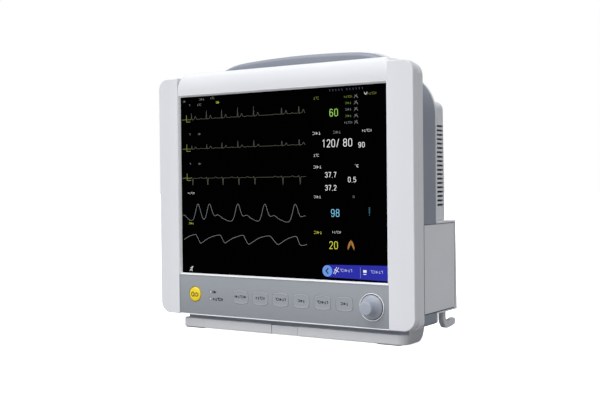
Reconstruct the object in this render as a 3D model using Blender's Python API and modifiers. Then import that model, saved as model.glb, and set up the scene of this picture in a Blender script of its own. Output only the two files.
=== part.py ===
"""Patient monitor: a 15-inch bedside monitor with a carry handle, a keyed front panel, a battery bay
on the viewer's right and a sensor bay on the left.

Dimensions are in millimetres from the centre of the screen: X to the viewer's right, Y into the
case, Z up. place() turns them into metres with the origin under the middle of the case, on the
floor. Shapes without a material are helpers for booleans.
"""

import math

import bmesh
import bpy
from mathutils import Matrix, Vector

MM = 0.001
X, Y, Z = 0, 1, 2    # axis numbers

# ---------------------------------------------------------------- shared layout

Y_MIDDLE = 52.0      # middle of the overall depth, knob tip to hook tip
Z_FLOOR = 188.5      # screen centre above the floor

# Front bezel and the layer behind it
CASE_X = 188.0
PILLAR_TOP, RAIL_TOP = 140.0, 145.3
LAYER_FRONT, LAYER_BACK = 9.2, 22.4

# Screen module: lower left and upper right corners (x, z)
MODULE = ((-163.5, -124.5), (163.5, 125.0))
MODULE_STEP = 1.5    # from the module's edge out to its rebate, and in to its chassis

# Control panel
PANEL_LEFT, PANEL_RIGHT, PANEL_LOW, PANEL_HIGH = -154.8, 152.8, -166.7, -118.6
POWER_AT = (-129.2, -141.7)
KNOB_AT = (132.6, -143.1)

# Middle housing and rear cover
HOUSING_X, HOUSING_TOP, HOUSING_BOTTOM = 185.0, 134.0, -167.0
SHOULDER_R = 54.0
HOUSING_CORNER = 4
POCKET_X, POCKET_TOP = 97.0, 117.0   # dip in the top edge under the handle
BLOCK_X, BLOCK_TOP, BLOCK_LOW = 172.0, 99.5, -162.0
REAR_AT_TOP = 112.0
REAR_DRAFT = 6.0 / (BLOCK_TOP - BLOCK_LOW)   # the rear plane leans out towards the bottom
LEAN_BEYOND = 100    # only points deeper than this follow the rear plane

# Side bays
BAY_WALL = 3.0
BAY_INNER_X, BAY_TOP, BAY_LOW = 120.0, -46.0, -155.0
DOOR_TOP, DOOR_LOW = BAY_TOP - BAY_WALL, BAY_LOW + BAY_WALL
DOOR_X, DOOR_FRONT, DOOR_AXIS = 182.9, 25.3, 110.2
DOOR_GAP = 0.6

# Parts seated in the rear cover (x, z)
FAN_AT = (80.0, 30.0)
INLET_AT = (-70.0, -120.0)
INLET_HALF_X, INLET_HALF_Z = 14, 10.5
PORTS = {            # lower left and upper right corners (x, z)
    "network_port": ((22, -131), (40, -115)),
    "usb_port": ((52, -128), (67, -118)),
}
SCREW_AT = {"left": (-158.0, 84.0), "right": (158.0, 84.0)}
STUD_AT = (-100.0, -140.0)

BOARD_THICK = 1.6

for old in list(bpy.data.objects):
    bpy.data.objects.remove(old, do_unlink=True)

PARTS = bpy.data.collections.new("patient_monitor")
CUTTERS = bpy.data.collections.new("cutters")
bpy.context.scene.collection.children.link(PARTS)
bpy.context.scene.collection.children.link(CUTTERS)


# ---------------------------------------------------------------- materials

def material(name, colour, roughness, metallic=0.0):
    made = bpy.data.materials.new(name)
    made.use_nodes = True
    shader = made.node_tree.nodes["Principled BSDF"]
    shader.inputs["Base Color"].default_value = (*colour, 1.0)
    shader.inputs["Roughness"].default_value = roughness
    shader.inputs["Metallic"].default_value = metallic
    return made


WHITE = material("shell_white", colour=(0.66, 0.67, 0.70), roughness=0.42)
LIGHT = material("shell_light", colour=(0.66, 0.675, 0.705), roughness=0.45)
SLATE = material("shell_slate", colour=(0.16, 0.18, 0.21), roughness=0.45)
SILVER = material("panel_silver", colour=(0.26, 0.28, 0.30), roughness=0.40, metallic=0.2)
KEYCAP = material("key_silver", colour=(0.30, 0.32, 0.35), roughness=0.45, metallic=0.1)
YELLOW = material("button_yellow", colour=(0.85, 0.62, 0.02), roughness=0.40)
KNOB = material("knob_grey", colour=(0.33, 0.36, 0.43), roughness=0.40, metallic=0.2)
RING = material("ring_white", colour=(0.85, 0.86, 0.88), roughness=0.25)
GLASS = material("screen_glass", colour=(0.005, 0.005, 0.006), roughness=0.25)
RUBBER = material("rubber", colour=(0.30, 0.30, 0.31), roughness=0.85)
STEEL = material("steel", colour=(0.55, 0.56, 0.58), roughness=0.35, metallic=1.0)
ALUMINIUM = material("aluminium", colour=(0.60, 0.61, 0.63), roughness=0.40, metallic=1.0)
BOARD = material("board_green", colour=(0.02, 0.16, 0.06), roughness=0.50)
BLACK = material("black_plastic", colour=(0.02, 0.02, 0.022), roughness=0.50)
BRASS = material("brass", colour=(0.70, 0.50, 0.20), roughness=0.30, metallic=1.0)
BLUE = material("socket_blue", colour=(0.04, 0.13, 0.40), roughness=0.45)


# ---------------------------------------------------------------- shape builders

def place(x, y, z):
    return Vector((x, y - Y_MIDDLE, z + Z_FLOOR)) * MM


def finish(name, shape, origin, mat):
    """Makes an object of a bmesh whose points are in millimetres about origin."""
    bmesh.ops.scale(shape, vec=(MM, MM, MM), verts=shape.verts)
    bmesh.ops.recalc_face_normals(shape, faces=shape.faces)
    mesh = bpy.data.meshes.new(name)
    shape.to_mesh(mesh)
    shape.free()
    obj = bpy.data.objects.new(name, mesh)
    obj.location = place(*origin)
    if mat is None:
        obj.hide_render = True
        obj.display_type = "WIRE"
        CUTTERS.objects.link(obj)
    else:
        mesh.materials.append(mat)
        mesh.shade_smooth()
        mesh.set_sharp_from_angle(angle=math.radians(35))
        PARTS.objects.link(obj)
    return obj


def midpoint(low, high):
    return [(a + b) / 2 for a, b in zip(low, high)]


def add_box(shape, low, high, about, corner=0.0, axis=Y):
    """Adds a box between two corners, the edges along one axis rounded by corner."""
    verts = bmesh.ops.create_cube(shape, size=1.0)["verts"]
    size = [b - a for a, b in zip(low, high)]
    middle = [(a + b) / 2 - c for a, b, c in zip(low, high, about)]
    bmesh.ops.scale(shape, vec=size, verts=verts)
    bmesh.ops.translate(shape, vec=middle, verts=verts)
    if corner:
        edges = {edge for vert in verts for edge in vert.link_edges}
        along = [e for e in edges if abs((e.verts[0].co - e.verts[1].co)[axis]) > 1e-6]
        bmesh.ops.bevel(shape, geom=along, offset=corner, segments=3, profile=0.5, affect="EDGES")


def box(name, low, high, mat=None, corner=0.0, axis=Y):
    about = midpoint(low, high)
    shape = bmesh.new()
    add_box(shape, low, high, about, corner, axis)
    return finish(name, shape, about, mat)


def boxes(name, pairs):
    """Several boxes as one helper, each given by its low and high corners."""
    about = midpoint(*pairs[0])
    shape = bmesh.new()
    for low, high in pairs:
        add_box(shape, low, high, about)
    return finish(name, shape, about, None)


def around(centre, half_x, half_z, front, back):
    """Box corners about a centre (x, z)."""
    x, z = centre
    return (x - half_x, front, z - half_z), (x + half_x, back, z + half_z)


def grown(corners, grow, front, back):
    """Box corners from two corners (x, z) moved outwards by grow."""
    (left, bottom), (right, top) = corners
    return (left - grow, front, bottom - grow), (right + grow, back, top + grow)


def rods(name, centres, radius, start, end, mat=None, axis=Y, steps=24):
    """Round bars along Y or Z; centres are the other two coordinates, in order."""
    turn = {Y: Matrix.Rotation(math.pi / 2, 4, "X"), Z: Matrix.Identity(4)}[axis]
    shape = bmesh.new()
    about = None
    for centre in centres:
        at = list(centre)
        at.insert(axis, (start + end) / 2)
        about = about or at
        verts = bmesh.ops.create_cone(shape, cap_ends=True, segments=steps, radius1=radius,
                                      radius2=radius, depth=end - start)["verts"]
        bmesh.ops.transform(shape, matrix=turn, verts=verts)
        bmesh.ops.translate(shape, vec=[a - b for a, b in zip(at, about)], verts=verts)
    return finish(name, shape, about, mat)


# Rotations that point a turned profile's height in a direction
FACING = {
    "front": (math.pi / 2, 0, 0), "back": (-math.pi / 2, 0, 0),
    "left": (0, -math.pi / 2, 0), "right": (0, math.pi / 2, 0),
    "up": (0, 0, 0),
}


def turned(name, profile, centre, mat, steps=32, facing="front", closed=False):
    """A profile of (radius, height) turned about its axis, its height growing towards facing.
    closed joins the profile's ends into a ring."""
    mesh = bpy.data.meshes.new(name)
    shape = bmesh.new()
    points = [shape.verts.new((radius * MM, 0, height * MM)) for radius, height in profile]
    for a, b in zip(points, points[1:]):
        shape.edges.new((a, b))
    if closed:
        shape.edges.new((points[-1], points[0]))
    shape.to_mesh(mesh)
    shape.free()
    obj = bpy.data.objects.new(name, mesh)
    mesh.materials.append(mat)
    PARTS.objects.link(obj)
    obj.location = place(*centre)
    obj.rotation_euler = FACING[facing]
    screw = obj.modifiers.new("turn", "SCREW")
    screw.angle = math.tau
    screw.steps = screw.render_steps = steps
    screw.axis = "Z"
    screw.use_merge_vertices = True
    screw.merge_threshold = 0.00001
    return obj


# Matrices that stand a flat outline (a, b) up so that it is extruded along an axis
STAND = {
    X: Matrix(((0, 0, 1, 0), (1, 0, 0, 0), (0, 1, 0, 0), (0, 0, 0, 1))),
    Y: Matrix(((1, 0, 0, 0), (0, 0, -1, 0), (0, 1, 0, 0), (0, 0, 0, 1))),
    Z: Matrix.Identity(4),
}


def filled(name, loops, thickness):
    """A mesh of a flat outline with holes, given a thickness along its local Z."""
    curve = bpy.data.curves.new(name + "_outline", "CURVE")
    curve.dimensions = "2D"
    curve.fill_mode = "BOTH"
    curve.extrude = thickness / 2
    for loop in loops:
        spline = curve.splines.new("POLY")
        spline.points.add(len(loop) - 1)
        for point, (a, b) in zip(spline.points, loop):
            point.co = (a, b, 0, 1)
        spline.use_cyclic_u = True
    flat = bpy.data.objects.new(name + "_outline", curve)
    CUTTERS.objects.link(flat)
    graph = bpy.context.evaluated_depsgraph_get()
    mesh = bpy.data.meshes.new_from_object(flat.evaluated_get(graph))
    bpy.data.objects.remove(flat)
    bpy.data.curves.remove(curve)
    return mesh


def plate(name, loops, start, end, mat=None, axis=Y, origin=None):
    """An outline with holes, extruded along an axis. Loops hold the other two coordinates."""
    mesh = filled(name, loops, end - start)
    shape = bmesh.new()
    shape.from_mesh(mesh)
    bpy.data.meshes.remove(mesh)
    bmesh.ops.remove_doubles(shape, verts=shape.verts, dist=0.001)
    bmesh.ops.transform(shape, matrix=STAND[axis], verts=shape.verts)
    shift = Vector((0, 0, 0))
    shift[axis] = (start + end) / 2
    about = Vector(origin) if origin else shift
    bmesh.ops.translate(shape, vec=shift - about, verts=shape.verts)
    return finish(name, shape, about, mat)


def boolean(obj, helper, operation):
    modifier = obj.modifiers.new(helper.name, "BOOLEAN")
    modifier.operation = operation
    modifier.object = helper


def cut(obj, *helpers):
    for helper in helpers:
        boolean(obj, helper, "DIFFERENCE")


def join(obj, *helpers):
    for helper in helpers:
        boolean(obj, helper, "UNION")


def rear_y(z):
    return REAR_AT_TOP + (BLOCK_TOP - z) * REAR_DRAFT


def lean(obj):
    """Leans the rear faces to the rear plane, keeping the wall thickness."""
    for vertex in obj.data.vertices:
        y = vertex.co.y / MM + obj.location.y / MM + Y_MIDDLE
        z = vertex.co.z / MM + obj.location.z / MM - Z_FLOOR
        if y > LEAN_BEYOND:
            vertex.co.y += (rear_y(z) - REAR_AT_TOP) * MM


# ---------------------------------------------------------------- outlines

def arc(centre_a, centre_b, radius, start, end, steps=8):
    angles = [math.radians(start + (end - start) * i / steps) for i in range(steps + 1)]
    return [(centre_a + radius * math.cos(t), centre_b + radius * math.sin(t)) for t in angles]


def circle(centre_a, centre_b, radius, steps=32):
    return arc(centre_a, centre_b, radius, 0, 360, steps)[:-1]


def rectangle(left, bottom, right, top):
    return [(left, bottom), (right, bottom), (right, top), (left, top)]


def mirrored(points):
    """The mirror image across the middle, in the order that carries an outline on."""
    return [(-a, b) for a, b in reversed(points)]


def on_side(side, points):
    """Points laid out for the right, moved to the side -1 (left) or 1 (right)."""
    return [(side * a, b) for a, b in points]


def side_span(side, near, far):
    return sorted((side * near, side * far))


def bezel_outline(inset, bottom, corner, crown):
    """Case front with a raised top rail; corner and crown round its lower and upper corners."""
    side, top, rail = CASE_X - inset, PILLAR_TOP - inset, RAIL_TOP - inset
    right = (
        arc(side - corner, bottom + corner, corner, -90, 0)
        + arc(side - crown, top - crown, crown, 0, 90)
        + [(156, top), (145, rail)]
    )
    return right + mirrored(right)


def housing_outline(inset=0.0):
    side, bottom = HOUSING_X - inset, HOUSING_BOTTOM + inset
    corner = HOUSING_CORNER - inset
    top, pocket = HOUSING_TOP - inset, POCKET_TOP - inset
    shoulder_x, shoulder_z = HOUSING_X - SHOULDER_R, HOUSING_TOP - SHOULDER_R
    right = (
        arc(side - corner, bottom + corner, corner, -90, 0, 4)
        + arc(shoulder_x, shoulder_z, SHOULDER_R - inset, 0, 90, 12)
        + [(POCKET_X + 9, top), (POCKET_X - 5, pocket)]
    )
    return right + mirrored(right)


# ---------------------------------------------------------------- front

BEZEL_FRONT, BEZEL_BACK, BEZEL_BOTTOM = -4.0, 8.7, -168.5
OPENING_X, OPENING_LOW, OPENING_HIGH = 154.5, -114.8, 117.4
PANEL_GAP, PANEL_GAP_LOW = 0.4, 0.3


def build_front_bezel():
    screen_opening = rectangle(-OPENING_X, OPENING_LOW, OPENING_X, OPENING_HIGH)
    panel_opening = rectangle(PANEL_LEFT - PANEL_GAP, PANEL_LOW - PANEL_GAP_LOW,
                              PANEL_RIGHT + PANEL_GAP, PANEL_HIGH + PANEL_GAP)
    outline = bezel_outline(inset=0, bottom=BEZEL_BOTTOM, corner=15, crown=14)
    bezel = plate("front_bezel", [outline, screen_opening, panel_opening],
                  BEZEL_FRONT, BEZEL_BACK, WHITE)
    cut(bezel, box("screen_rebate", *grown(MODULE, MODULE_STEP, -0.3, 12)))


FOOT_LEFT, FOOT_TOP, FOOT_BOTTOM = -163.5, -175.6, -187.5
NECK_LOW = FOOT_TOP - 0.6            # the necks sink into the foot
ARM_TOP = HOUSING_BOTTOM - 0.4
ARM_BACK = 60
SLED_Y, SLED_R = 42, 18              # rounding under the rear ends of the arms


def build_foot():
    """A U seen from above: the bar is its front and its arms run back under the case."""
    left_corner = [(-x, y) for x, y in arc(-FOOT_LEFT - 8, 20, 8, -90, 0, 6)]
    right_corner = list(reversed(arc(156.5, 24, 12, -90, 0, 8)))
    plan = (
        [(-134, ARM_BACK), (-134, 24.6), (134, 24.6), (134, ARM_BACK), (168.5, ARM_BACK)]
        + right_corner
        + left_corner
        + [(FOOT_LEFT, LAYER_BACK), (-158, LAYER_BACK), (-158, ARM_BACK)]
    )
    foot = plate("foot_bar", [plan], FOOT_BOTTOM, FOOT_TOP, axis=Z)
    # the left arm's neck stands back; the right arm fills the room up to the case
    join(
        foot,
        box("arm_neck_left", (-158, 20.5, NECK_LOW), (-150, 58, ARM_TOP)),
        box("arm_neck_right", (150, LAYER_BACK, NECK_LOW), (168.4, 59.9, ARM_TOP)),
    )
    sled = arc(SLED_Y, FOOT_BOTTOM + SLED_R, SLED_R, -90, 0, 8)
    sled += [(90, FOOT_BOTTOM + SLED_R), (90, FOOT_BOTTOM - 8), (SLED_Y, FOOT_BOTTOM - 8)]
    cut(foot, plate("foot_sled", [sled], -200, 200, axis=X))
    return foot


def build_foot_frame():
    """The layer behind the bezel, with a set-back neck and the foot below it."""
    outline = bezel_outline(inset=0.5, bottom=-169.0, corner=9.4, crown=17)
    frame = plate("foot_frame", [outline, rectangle(-166, -158, 166, 127.5)],
                  LAYER_FRONT, LAYER_BACK, WHITE)
    join(frame, box("foot_neck", (-158, 19.6, NECK_LOW), (167, LAYER_BACK, -168)))
    join(frame, build_foot())
    cut(frame, box("tab_slot", (-19.9, 5, -195), (19.9, 30, FOOT_TOP + 0.1)))


# ---------------------------------------------------------------- control panel

PANEL_FRONT, PANEL_BACK = -3.0, -0.5
KEYS = ["silence", "pause", "freeze", "pressure", "record", "menu"]
KEY_FIRST, KEY_PITCH, KEY_Z, KEY_W, KEY_H = -56.0, 30.3, -141.7, 23.6, 17.6
KEY_AT = {key: KEY_FIRST + KEY_PITCH * i for i, key in enumerate(KEYS)}
KEY_FRONT, KEY_BACK, KEY_GAP = -3.7, 1.6, 0.5
LEDS = {"led_lens_mains": (-104.4, -137.6), "led_lens_power": (-104.4, -146.6)}

# Turned profiles (radius, height towards the viewer)
POWER_PROFILE = [(0, 4.2), (7.5, 4.2), (9.0, 3.7), (9.5, 2.9), (9.5, 0.0), (11.0, 0.0),
                 (11.0, -1.0), (0, -1.0)]
LENS_PROFILE = [(0, 3.3), (1.2, 3.2), (1.6, 2.8), (1.6, -1.0), (0, -1.0)]
KNOB_RING_PROFILE = [(15.6, 4.2), (16.3, 3.6), (16.3, 0.2), (4.4, 0.2), (4.4, 1.5),
                     (15.1, 1.5), (15.1, 4.0)]
KNOB_PROFILE = [(0, 20.0), (7.4, 20.0), (8.2, 19.3), (8.6, 16.0), (9.6, 11.0), (11.4, 7.2),
                (13.6, 5.2), (14.2, 4.4), (14.2, 2.7), (2.3, 2.7), (2.3, 13.5), (0, 13.5)]
PLUNGER_PROFILE = [(2.4, 1.0), (3.4, 1.0), (3.4, -8.0), (2.4, -8.0)]


def key_outline(centre_x, grow=0.0):
    """A barrel: flat sides, shallow arcs above and below, small corners."""
    half_w, half_h = KEY_W / 2 + grow, KEY_H / 2 + grow
    right = [
        (half_w - 2.2, -half_h + 1.2), (half_w - 0.4, -half_h + 3.2), (half_w, 0),
        (half_w - 0.4, half_h - 3.2), (half_w - 2.2, half_h - 1.2),
        (half_w * 0.45, half_h - 0.15),
    ]
    bottom = [(-half_w * 0.45, -half_h + 0.15), (0, -half_h), (half_w * 0.45, -half_h + 0.15)]
    barrel = right + [(0, half_h)] + mirrored(right) + bottom
    return [(centre_x + x, KEY_Z + z) for x, z in barrel]


def build_control_panel():
    loops = [
        rectangle(PANEL_LEFT, PANEL_LOW, PANEL_RIGHT, PANEL_HIGH),
        circle(*POWER_AT, 10.1),
        circle(*KNOB_AT, 16.8),
    ]
    loops += [key_outline(x, KEY_GAP) for x in KEY_AT.values()]
    loops += [circle(x, z, 2.0, 16) for x, z in LEDS.values()]
    plate("control_panel", loops, PANEL_FRONT, PANEL_BACK, SILVER)


def build_keys_and_lamps():
    turned("power_button", POWER_PROFILE, (POWER_AT[0], 0, POWER_AT[1]), YELLOW)
    for key, x in KEY_AT.items():
        plate("key_" + key, [key_outline(x)], KEY_FRONT, KEY_BACK, KEYCAP, origin=(x, 0, KEY_Z))
    for lens, (x, z) in LEDS.items():
        turned(lens, LENS_PROFILE, (x, 0, z), RING, steps=16)
    box("keypad_board", (-145, 4.0, -164), (112, 4.0 + BOARD_THICK, -128), BOARD)


def build_knob():
    """Ring cup, knob, shaft, sliding plunger and encoder body."""
    centre = (KNOB_AT[0], 0, KNOB_AT[1])
    turned("knob_ring", KNOB_RING_PROFILE, centre, RING, closed=True)
    turned("jog_knob", KNOB_PROFILE, centre, KNOB)
    rods("encoder_shaft", [KNOB_AT], 1.8, -13.0, 7.5, STEEL, steps=16)
    turned("encoder_plunger", PLUNGER_PROFILE, centre, ALUMINIUM, steps=20, closed=True)
    encoder = box("encoder_body", *around(KNOB_AT, 8.5, 8.5, 1.2, 15.0), BLACK)
    cut(encoder, rods("encoder_bore", [KNOB_AT], 4.0, 0, 12.0, steps=20))


# ---------------------------------------------------------------- screen and speaker

SPEAKER_PROFILE = [(0, 10), (6, 10), (15, 8), (17.5, 8), (17.5, 5.5), (14, 3), (9, 1), (9, -3),
                   (0, -3)]


def build_screen_and_speaker():
    box("lcd_panel", *grown(MODULE, 0, 0.0, 6.5), GLASS)
    box("lcd_chassis", *grown(MODULE, -MODULE_STEP, 6.9, 11.5), ALUMINIUM)
    turned("speaker", SPEAKER_PROFILE, (-60, 20, -138), BLACK, steps=24)


# ---------------------------------------------------------------- middle housing and handle

HOUSING_FRONT, HOUSING_BACK, HOUSING_WALL = 22.8, 60.0, 3.0


def build_mid_housing():
    """An open ring with a window on each side for the bays."""
    housing = plate("mid_housing", [housing_outline(), housing_outline(HOUSING_WALL)],
                    HOUSING_FRONT, HOUSING_BACK, SLATE)
    for side in (-1, 1):
        x_low, x_high = side_span(side, 170, 195)
        cut(housing, box(f"bay_window_{side + 1}", (x_low, 25.0, DOOR_LOW - DOOR_GAP),
                         (x_high, 70, DOOR_TOP + DOOR_GAP)))


# Right half of the handle's upper edge (x, z), from the outer end inwards
FRONT_SHOULDER = [(126, 150.2), (106, 157.4), (90, 160.6)]
REAR_SHOULDER = [(139, 149.6), (131, 150.4), (125, 152.2), (115, 156.8), (106, 159.2), (90, 161)]
# Right half of the grip opening (x, z), from the middle outwards
GRIP = [(93, 148.6), (101, 146.5), (106, 141.5), (108, 134.6)]
HANDLE_BASE, HANDLE_TOP, CROWN_X, CROWN_DROP = 134.6, 164.0, 90, 3.2
# Wedge in front of each end of the rear arch (x, y), right side
TAPER = [(93, 76), (116, 65), (160, 64.2), (160, 90), (93, 90)]


def handle_outline(shoulder):
    crown = [(x, HANDLE_TOP - CROWN_DROP * (x / CROWN_X) ** 2) for x in (75, 60, 45, 30, 15)]
    right = GRIP + [(shoulder[0][0], HANDLE_BASE)] + shoulder + crown
    return right + [(0, HANDLE_TOP)] + mirrored(right)


def build_handle():
    """Slate front arch and light rear arch with its shoulders."""
    plate("handle_front", [handle_outline(FRONT_SHOULDER)], 44.0, 58.0, SLATE)
    rear = plate("handle_rear", [handle_outline(REAR_SHOULDER)], 58.4, 74.0, LIGHT)
    for side in (-1, 1):
        cut(rear, plate(f"handle_taper_{side + 1}", [on_side(side, TAPER)], 100, 200, axis=Z))


# ---------------------------------------------------------------- rear cover

FLANGE_FRONT, FLANGE_BACK = 60.4, 64.0
COVER_WALL, COVER_CORNER = 2.6, 10
VENTS, VENT_PITCH, VENT_TOP, VENT_HEIGHT = 19, 5.33, 69.0, 2.4
BAY_GAP = 0.4


def build_rear_block():
    block = box("rear_block", (-BLOCK_X, 62, BLOCK_LOW), (BLOCK_X, REAR_AT_TOP, BLOCK_TOP),
                corner=COVER_CORNER)
    lean(block)
    return block


def build_rear_hollow():
    hollow = box("rear_hollow", (-BLOCK_X + COVER_WALL, 55, BLOCK_LOW + COVER_WALL),
                 (BLOCK_X - COVER_WALL, REAR_AT_TOP - COVER_WALL, BLOCK_TOP - COVER_WALL),
                 corner=COVER_CORNER - COVER_WALL)
    lean(hollow)
    return hollow


def build_vent_slots():
    """Level slots that open both side walls near the rear."""
    heights = [VENT_TOP - VENT_PITCH * i for i in range(VENTS)]
    return boxes("vent_slots", [around((0, z), 190, VENT_HEIGHT / 2, 92, 109) for z in heights])


def build_rear_cover():
    cover = plate("rear_cover", [housing_outline()], FLANGE_FRONT, FLANGE_BACK, LIGHT)
    join(cover, build_rear_block())
    cut(cover, build_rear_hollow(), build_vent_slots())
    for side in (-1, 1):
        x_low, x_high = side_span(side, BAY_INNER_X - 0.5, 195)
        cut(
            cover,
            box(f"bay_room_{side + 1}", (x_low, 50, BAY_LOW - BAY_GAP),
                (x_high, 130, BAY_TOP + BAY_GAP)),
            box(f"bay_under_{side + 1}", (x_low, 64.6, -175), (x_high, 130, BAY_LOW - 0.2)),
        )
    inlet_opening = around(INLET_AT, INLET_HALF_X + 0.6, INLET_HALF_Z + 0.6, 100, 130)
    port_openings = [grown(corners, 0.5, 100, 130) for corners in PORTS.values()]
    cut(
        cover,
        rods("fan_hole", [FAN_AT], 28.0, 105, 125, steps=32),
        boxes("rear_openings", [inlet_opening] + port_openings),
        rods("rear_bores", [*SCREW_AT.values(), STUD_AT], 2.1, 100, 130, steps=16),
    )


# ---------------------------------------------------------------- fan

GRILLE_R = 27.6
SLOT_RADII, SLOT_WIDTH, SLOT_WEB = (10, 15.5, 21), 3.4, 4
SPIDER = (94.6, 96.4)                # front and back of the struts and the motor seat
BLADES, BLADE_SIZE, BLADE_RADIUS, BLADE_TILT = 7, (15.4, 11.5, 1.2), 18.6, 38


def build_fan_grille():
    """A disc with rings of arc-shaped slots, four to a ring."""
    loops = [circle(*FAN_AT, GRILLE_R)]
    for radius in SLOT_RADII:
        gap = math.degrees(SLOT_WEB / 2 / radius)
        for quarter in range(4):
            start, end = quarter * 90 + gap, (quarter + 1) * 90 - gap
            loops.append(arc(*FAN_AT, radius + SLOT_WIDTH / 2, start, end, 6)
                         + arc(*FAN_AT, radius - SLOT_WIDTH / 2, end, start, 6))
    plate("fan_grille", loops, 110.4, 112.4, LIGHT)


def build_fan_frame():
    frame = box("fan_frame", *around(FAN_AT, 30, 30, 94.5, 109.5), BLACK, corner=4)
    cut(frame, rods("fan_bore", [FAN_AT], 27.8, 90, 115, steps=32))
    join(
        frame,
        box("fan_struts", *around(FAN_AT, 29, 1.5, *SPIDER)),
        box("fan_struts_up", *around(FAN_AT, 1.5, 29, *SPIDER)),
        rods("fan_seat", [FAN_AT], 11.0, *SPIDER),
    )


def build_fan_rotor():
    hub = rods("fan_rotor", [FAN_AT], 12.0, 97.2, 108.4, BLACK, steps=28)
    shape = bmesh.new()
    tilt = Matrix.Rotation(math.radians(BLADE_TILT), 4, "X")
    for i in range(BLADES):
        verts = bmesh.ops.create_cube(shape, size=1.0)["verts"]
        bmesh.ops.scale(shape, vec=BLADE_SIZE, verts=verts)
        bmesh.ops.rotate(shape, matrix=tilt, verts=verts)
        bmesh.ops.translate(shape, vec=(BLADE_RADIUS, 0, 0), verts=verts)
        bmesh.ops.rotate(shape, matrix=Matrix.Rotation(math.tau * i / BLADES, 4, "Y"), verts=verts)
    join(hub, finish("fan_blades", shape, (FAN_AT[0], 102.8, FAN_AT[1]), None))


# ---------------------------------------------------------------- rear connectors and screws

# About the inlet's centre (x, z)
INLET_POCKET = [(-12, -6), (-6, -8.5), (6, -8.5), (12, -6), (12, 8), (-12, 8)]
INLET_PINS = [(-7, 1.0), (0, -2.4), (7, 1.0)]
PORT_WALL = 1.4

# Turned profiles (radius, height out of the rear plane)
STUD_PROFILE = [(0, 5.2), (1.4, 5.2), (1.6, 4.8), (1.6, 3.9), (5.2, 3.9), (5.2, 0.5), (1.6, 0.5),
                (1.6, -7.0), (0, -7.0)]
SCREW_PROFILE = [(0, 1.9), (2.4, 1.9), (3.4, 1.2), (3.4, 0.45), (1.5, 0.45), (1.5, -8.0),
                 (0, -8.0)]


def build_mains_inlet():
    def about_inlet(points):
        return [(INLET_AT[0] + x, INLET_AT[1] + z) for x, z in points]

    inlet = box("mains_inlet", *around(INLET_AT, INLET_HALF_X, INLET_HALF_Z, 96, 118), BLACK)
    cut(inlet, plate("inlet_pocket", [about_inlet(INLET_POCKET)], 103, 122))
    pins = [around(at, 1, 2.6, 101, 115) for at in about_inlet(INLET_PINS)]
    join(inlet, boxes("inlet_pins", pins))


def build_ports():
    for port, corners in PORTS.items():
        block = box(port, *grown(corners, 0, 102, 118), STEEL)
        cut(block, box(port + "_mouth", *grown(corners, -PORT_WALL, 106, 122)))
    box("port_board", (4, 100.0, -142), (84, 100.0 + BOARD_THICK, -106), BOARD)


def build_stud_and_screws():
    stud_x, stud_z = STUD_AT
    turned("earth_stud", STUD_PROFILE, (stud_x, rear_y(stud_z), stud_z), BRASS, steps=12,
           facing="back")
    for label, (x, z) in SCREW_AT.items():
        turned("cover_screw_" + label, SCREW_PROFILE, (x, rear_y(z), z), STEEL, steps=16,
               facing="back")


# ---------------------------------------------------------------- side bays

# Plans of a bay and its room (x, y), right side
BAY_PLAN = [
    (150, 25.6), (181.2, 25.6), (181.2, 60.8), (185, 60.8), (185, REAR_AT_TOP),
    (BAY_INNER_X, REAR_AT_TOP), (BAY_INNER_X, 61), (150, 61),
]
ROOM_PLAN = [
    (153, 28.4), (195, 28.4), (195, DOOR_AXIS + 3.0),
    (BAY_INNER_X + BAY_WALL, DOOR_AXIS + 3.0), (BAY_INNER_X + BAY_WALL, 64), (153, 64),
]
BARREL_R, BARREL_BORE_R = 2.1, 1.25
HINGE = (DOOR_X, DOOR_AXIS)


def build_bay(name, side):
    """A box open to the side; its front part lies behind the window of the middle housing."""
    shell = plate(name, [on_side(side, BAY_PLAN)], BAY_LOW, BAY_TOP, LIGHT, axis=Z)
    lean(shell)
    cut(shell, plate(name + "_room", [on_side(side, ROOM_PLAN)],
                     DOOR_LOW - DOOR_GAP, DOOR_TOP + DOOR_GAP, axis=Z))
    return shell


def build_bays():
    battery_bay = build_bay("battery_bay", 1)
    build_bay("sensor_bay", -1)
    cut(battery_bay, rods("pin_bores", [HINGE], BARREL_BORE_R, DOOR_LOW - 2.6, DOOR_TOP + 2.6,
                          axis=Z, steps=12))


def build_battery_door():
    """A door with a barrel on its rear edge; the pin stands in the bay's top and bottom walls."""
    inner_x, outer_x = DOOR_X - 1.3, DOOR_X + BARREL_R
    outline = [(inner_x, DOOR_FRONT), (outer_x, DOOR_FRONT), (outer_x, DOOR_AXIS)]
    outline += arc(*HINGE, BARREL_R, 15, 240, 15)
    outline += [(inner_x, DOOR_AXIS - 2.2)]
    plate("battery_door", [outline, circle(*HINGE, BARREL_BORE_R, 16)], DOOR_LOW, DOOR_TOP, LIGHT,
          axis=Z, origin=(*HINGE, (DOOR_TOP + DOOR_LOW) / 2))
    rods("door_hinge_pin", [HINGE], 0.85, DOOR_LOW - 2.2, DOOR_TOP + 2.2, STEEL, axis=Z, steps=12)
    box("battery_pack", (127, 66.5, -147.5), (177, 106.5, -55), BLACK, corner=4, axis=Z)


SOCKETS = {          # y, z, radius, material
    "ecg_socket": (42.0, -74.0, 11.0, BLUE),
    "spo2_socket": (42.0, -104.0, 8.5, BLUE),
    "pressure_port": (42.0, -132.0, 6.5, STEEL),
    "temperature_socket_1": (78.0, -70.0, 4.5, BLACK),
    "temperature_socket_2": (78.0, -88.0, 4.5, BLACK),
}


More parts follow.
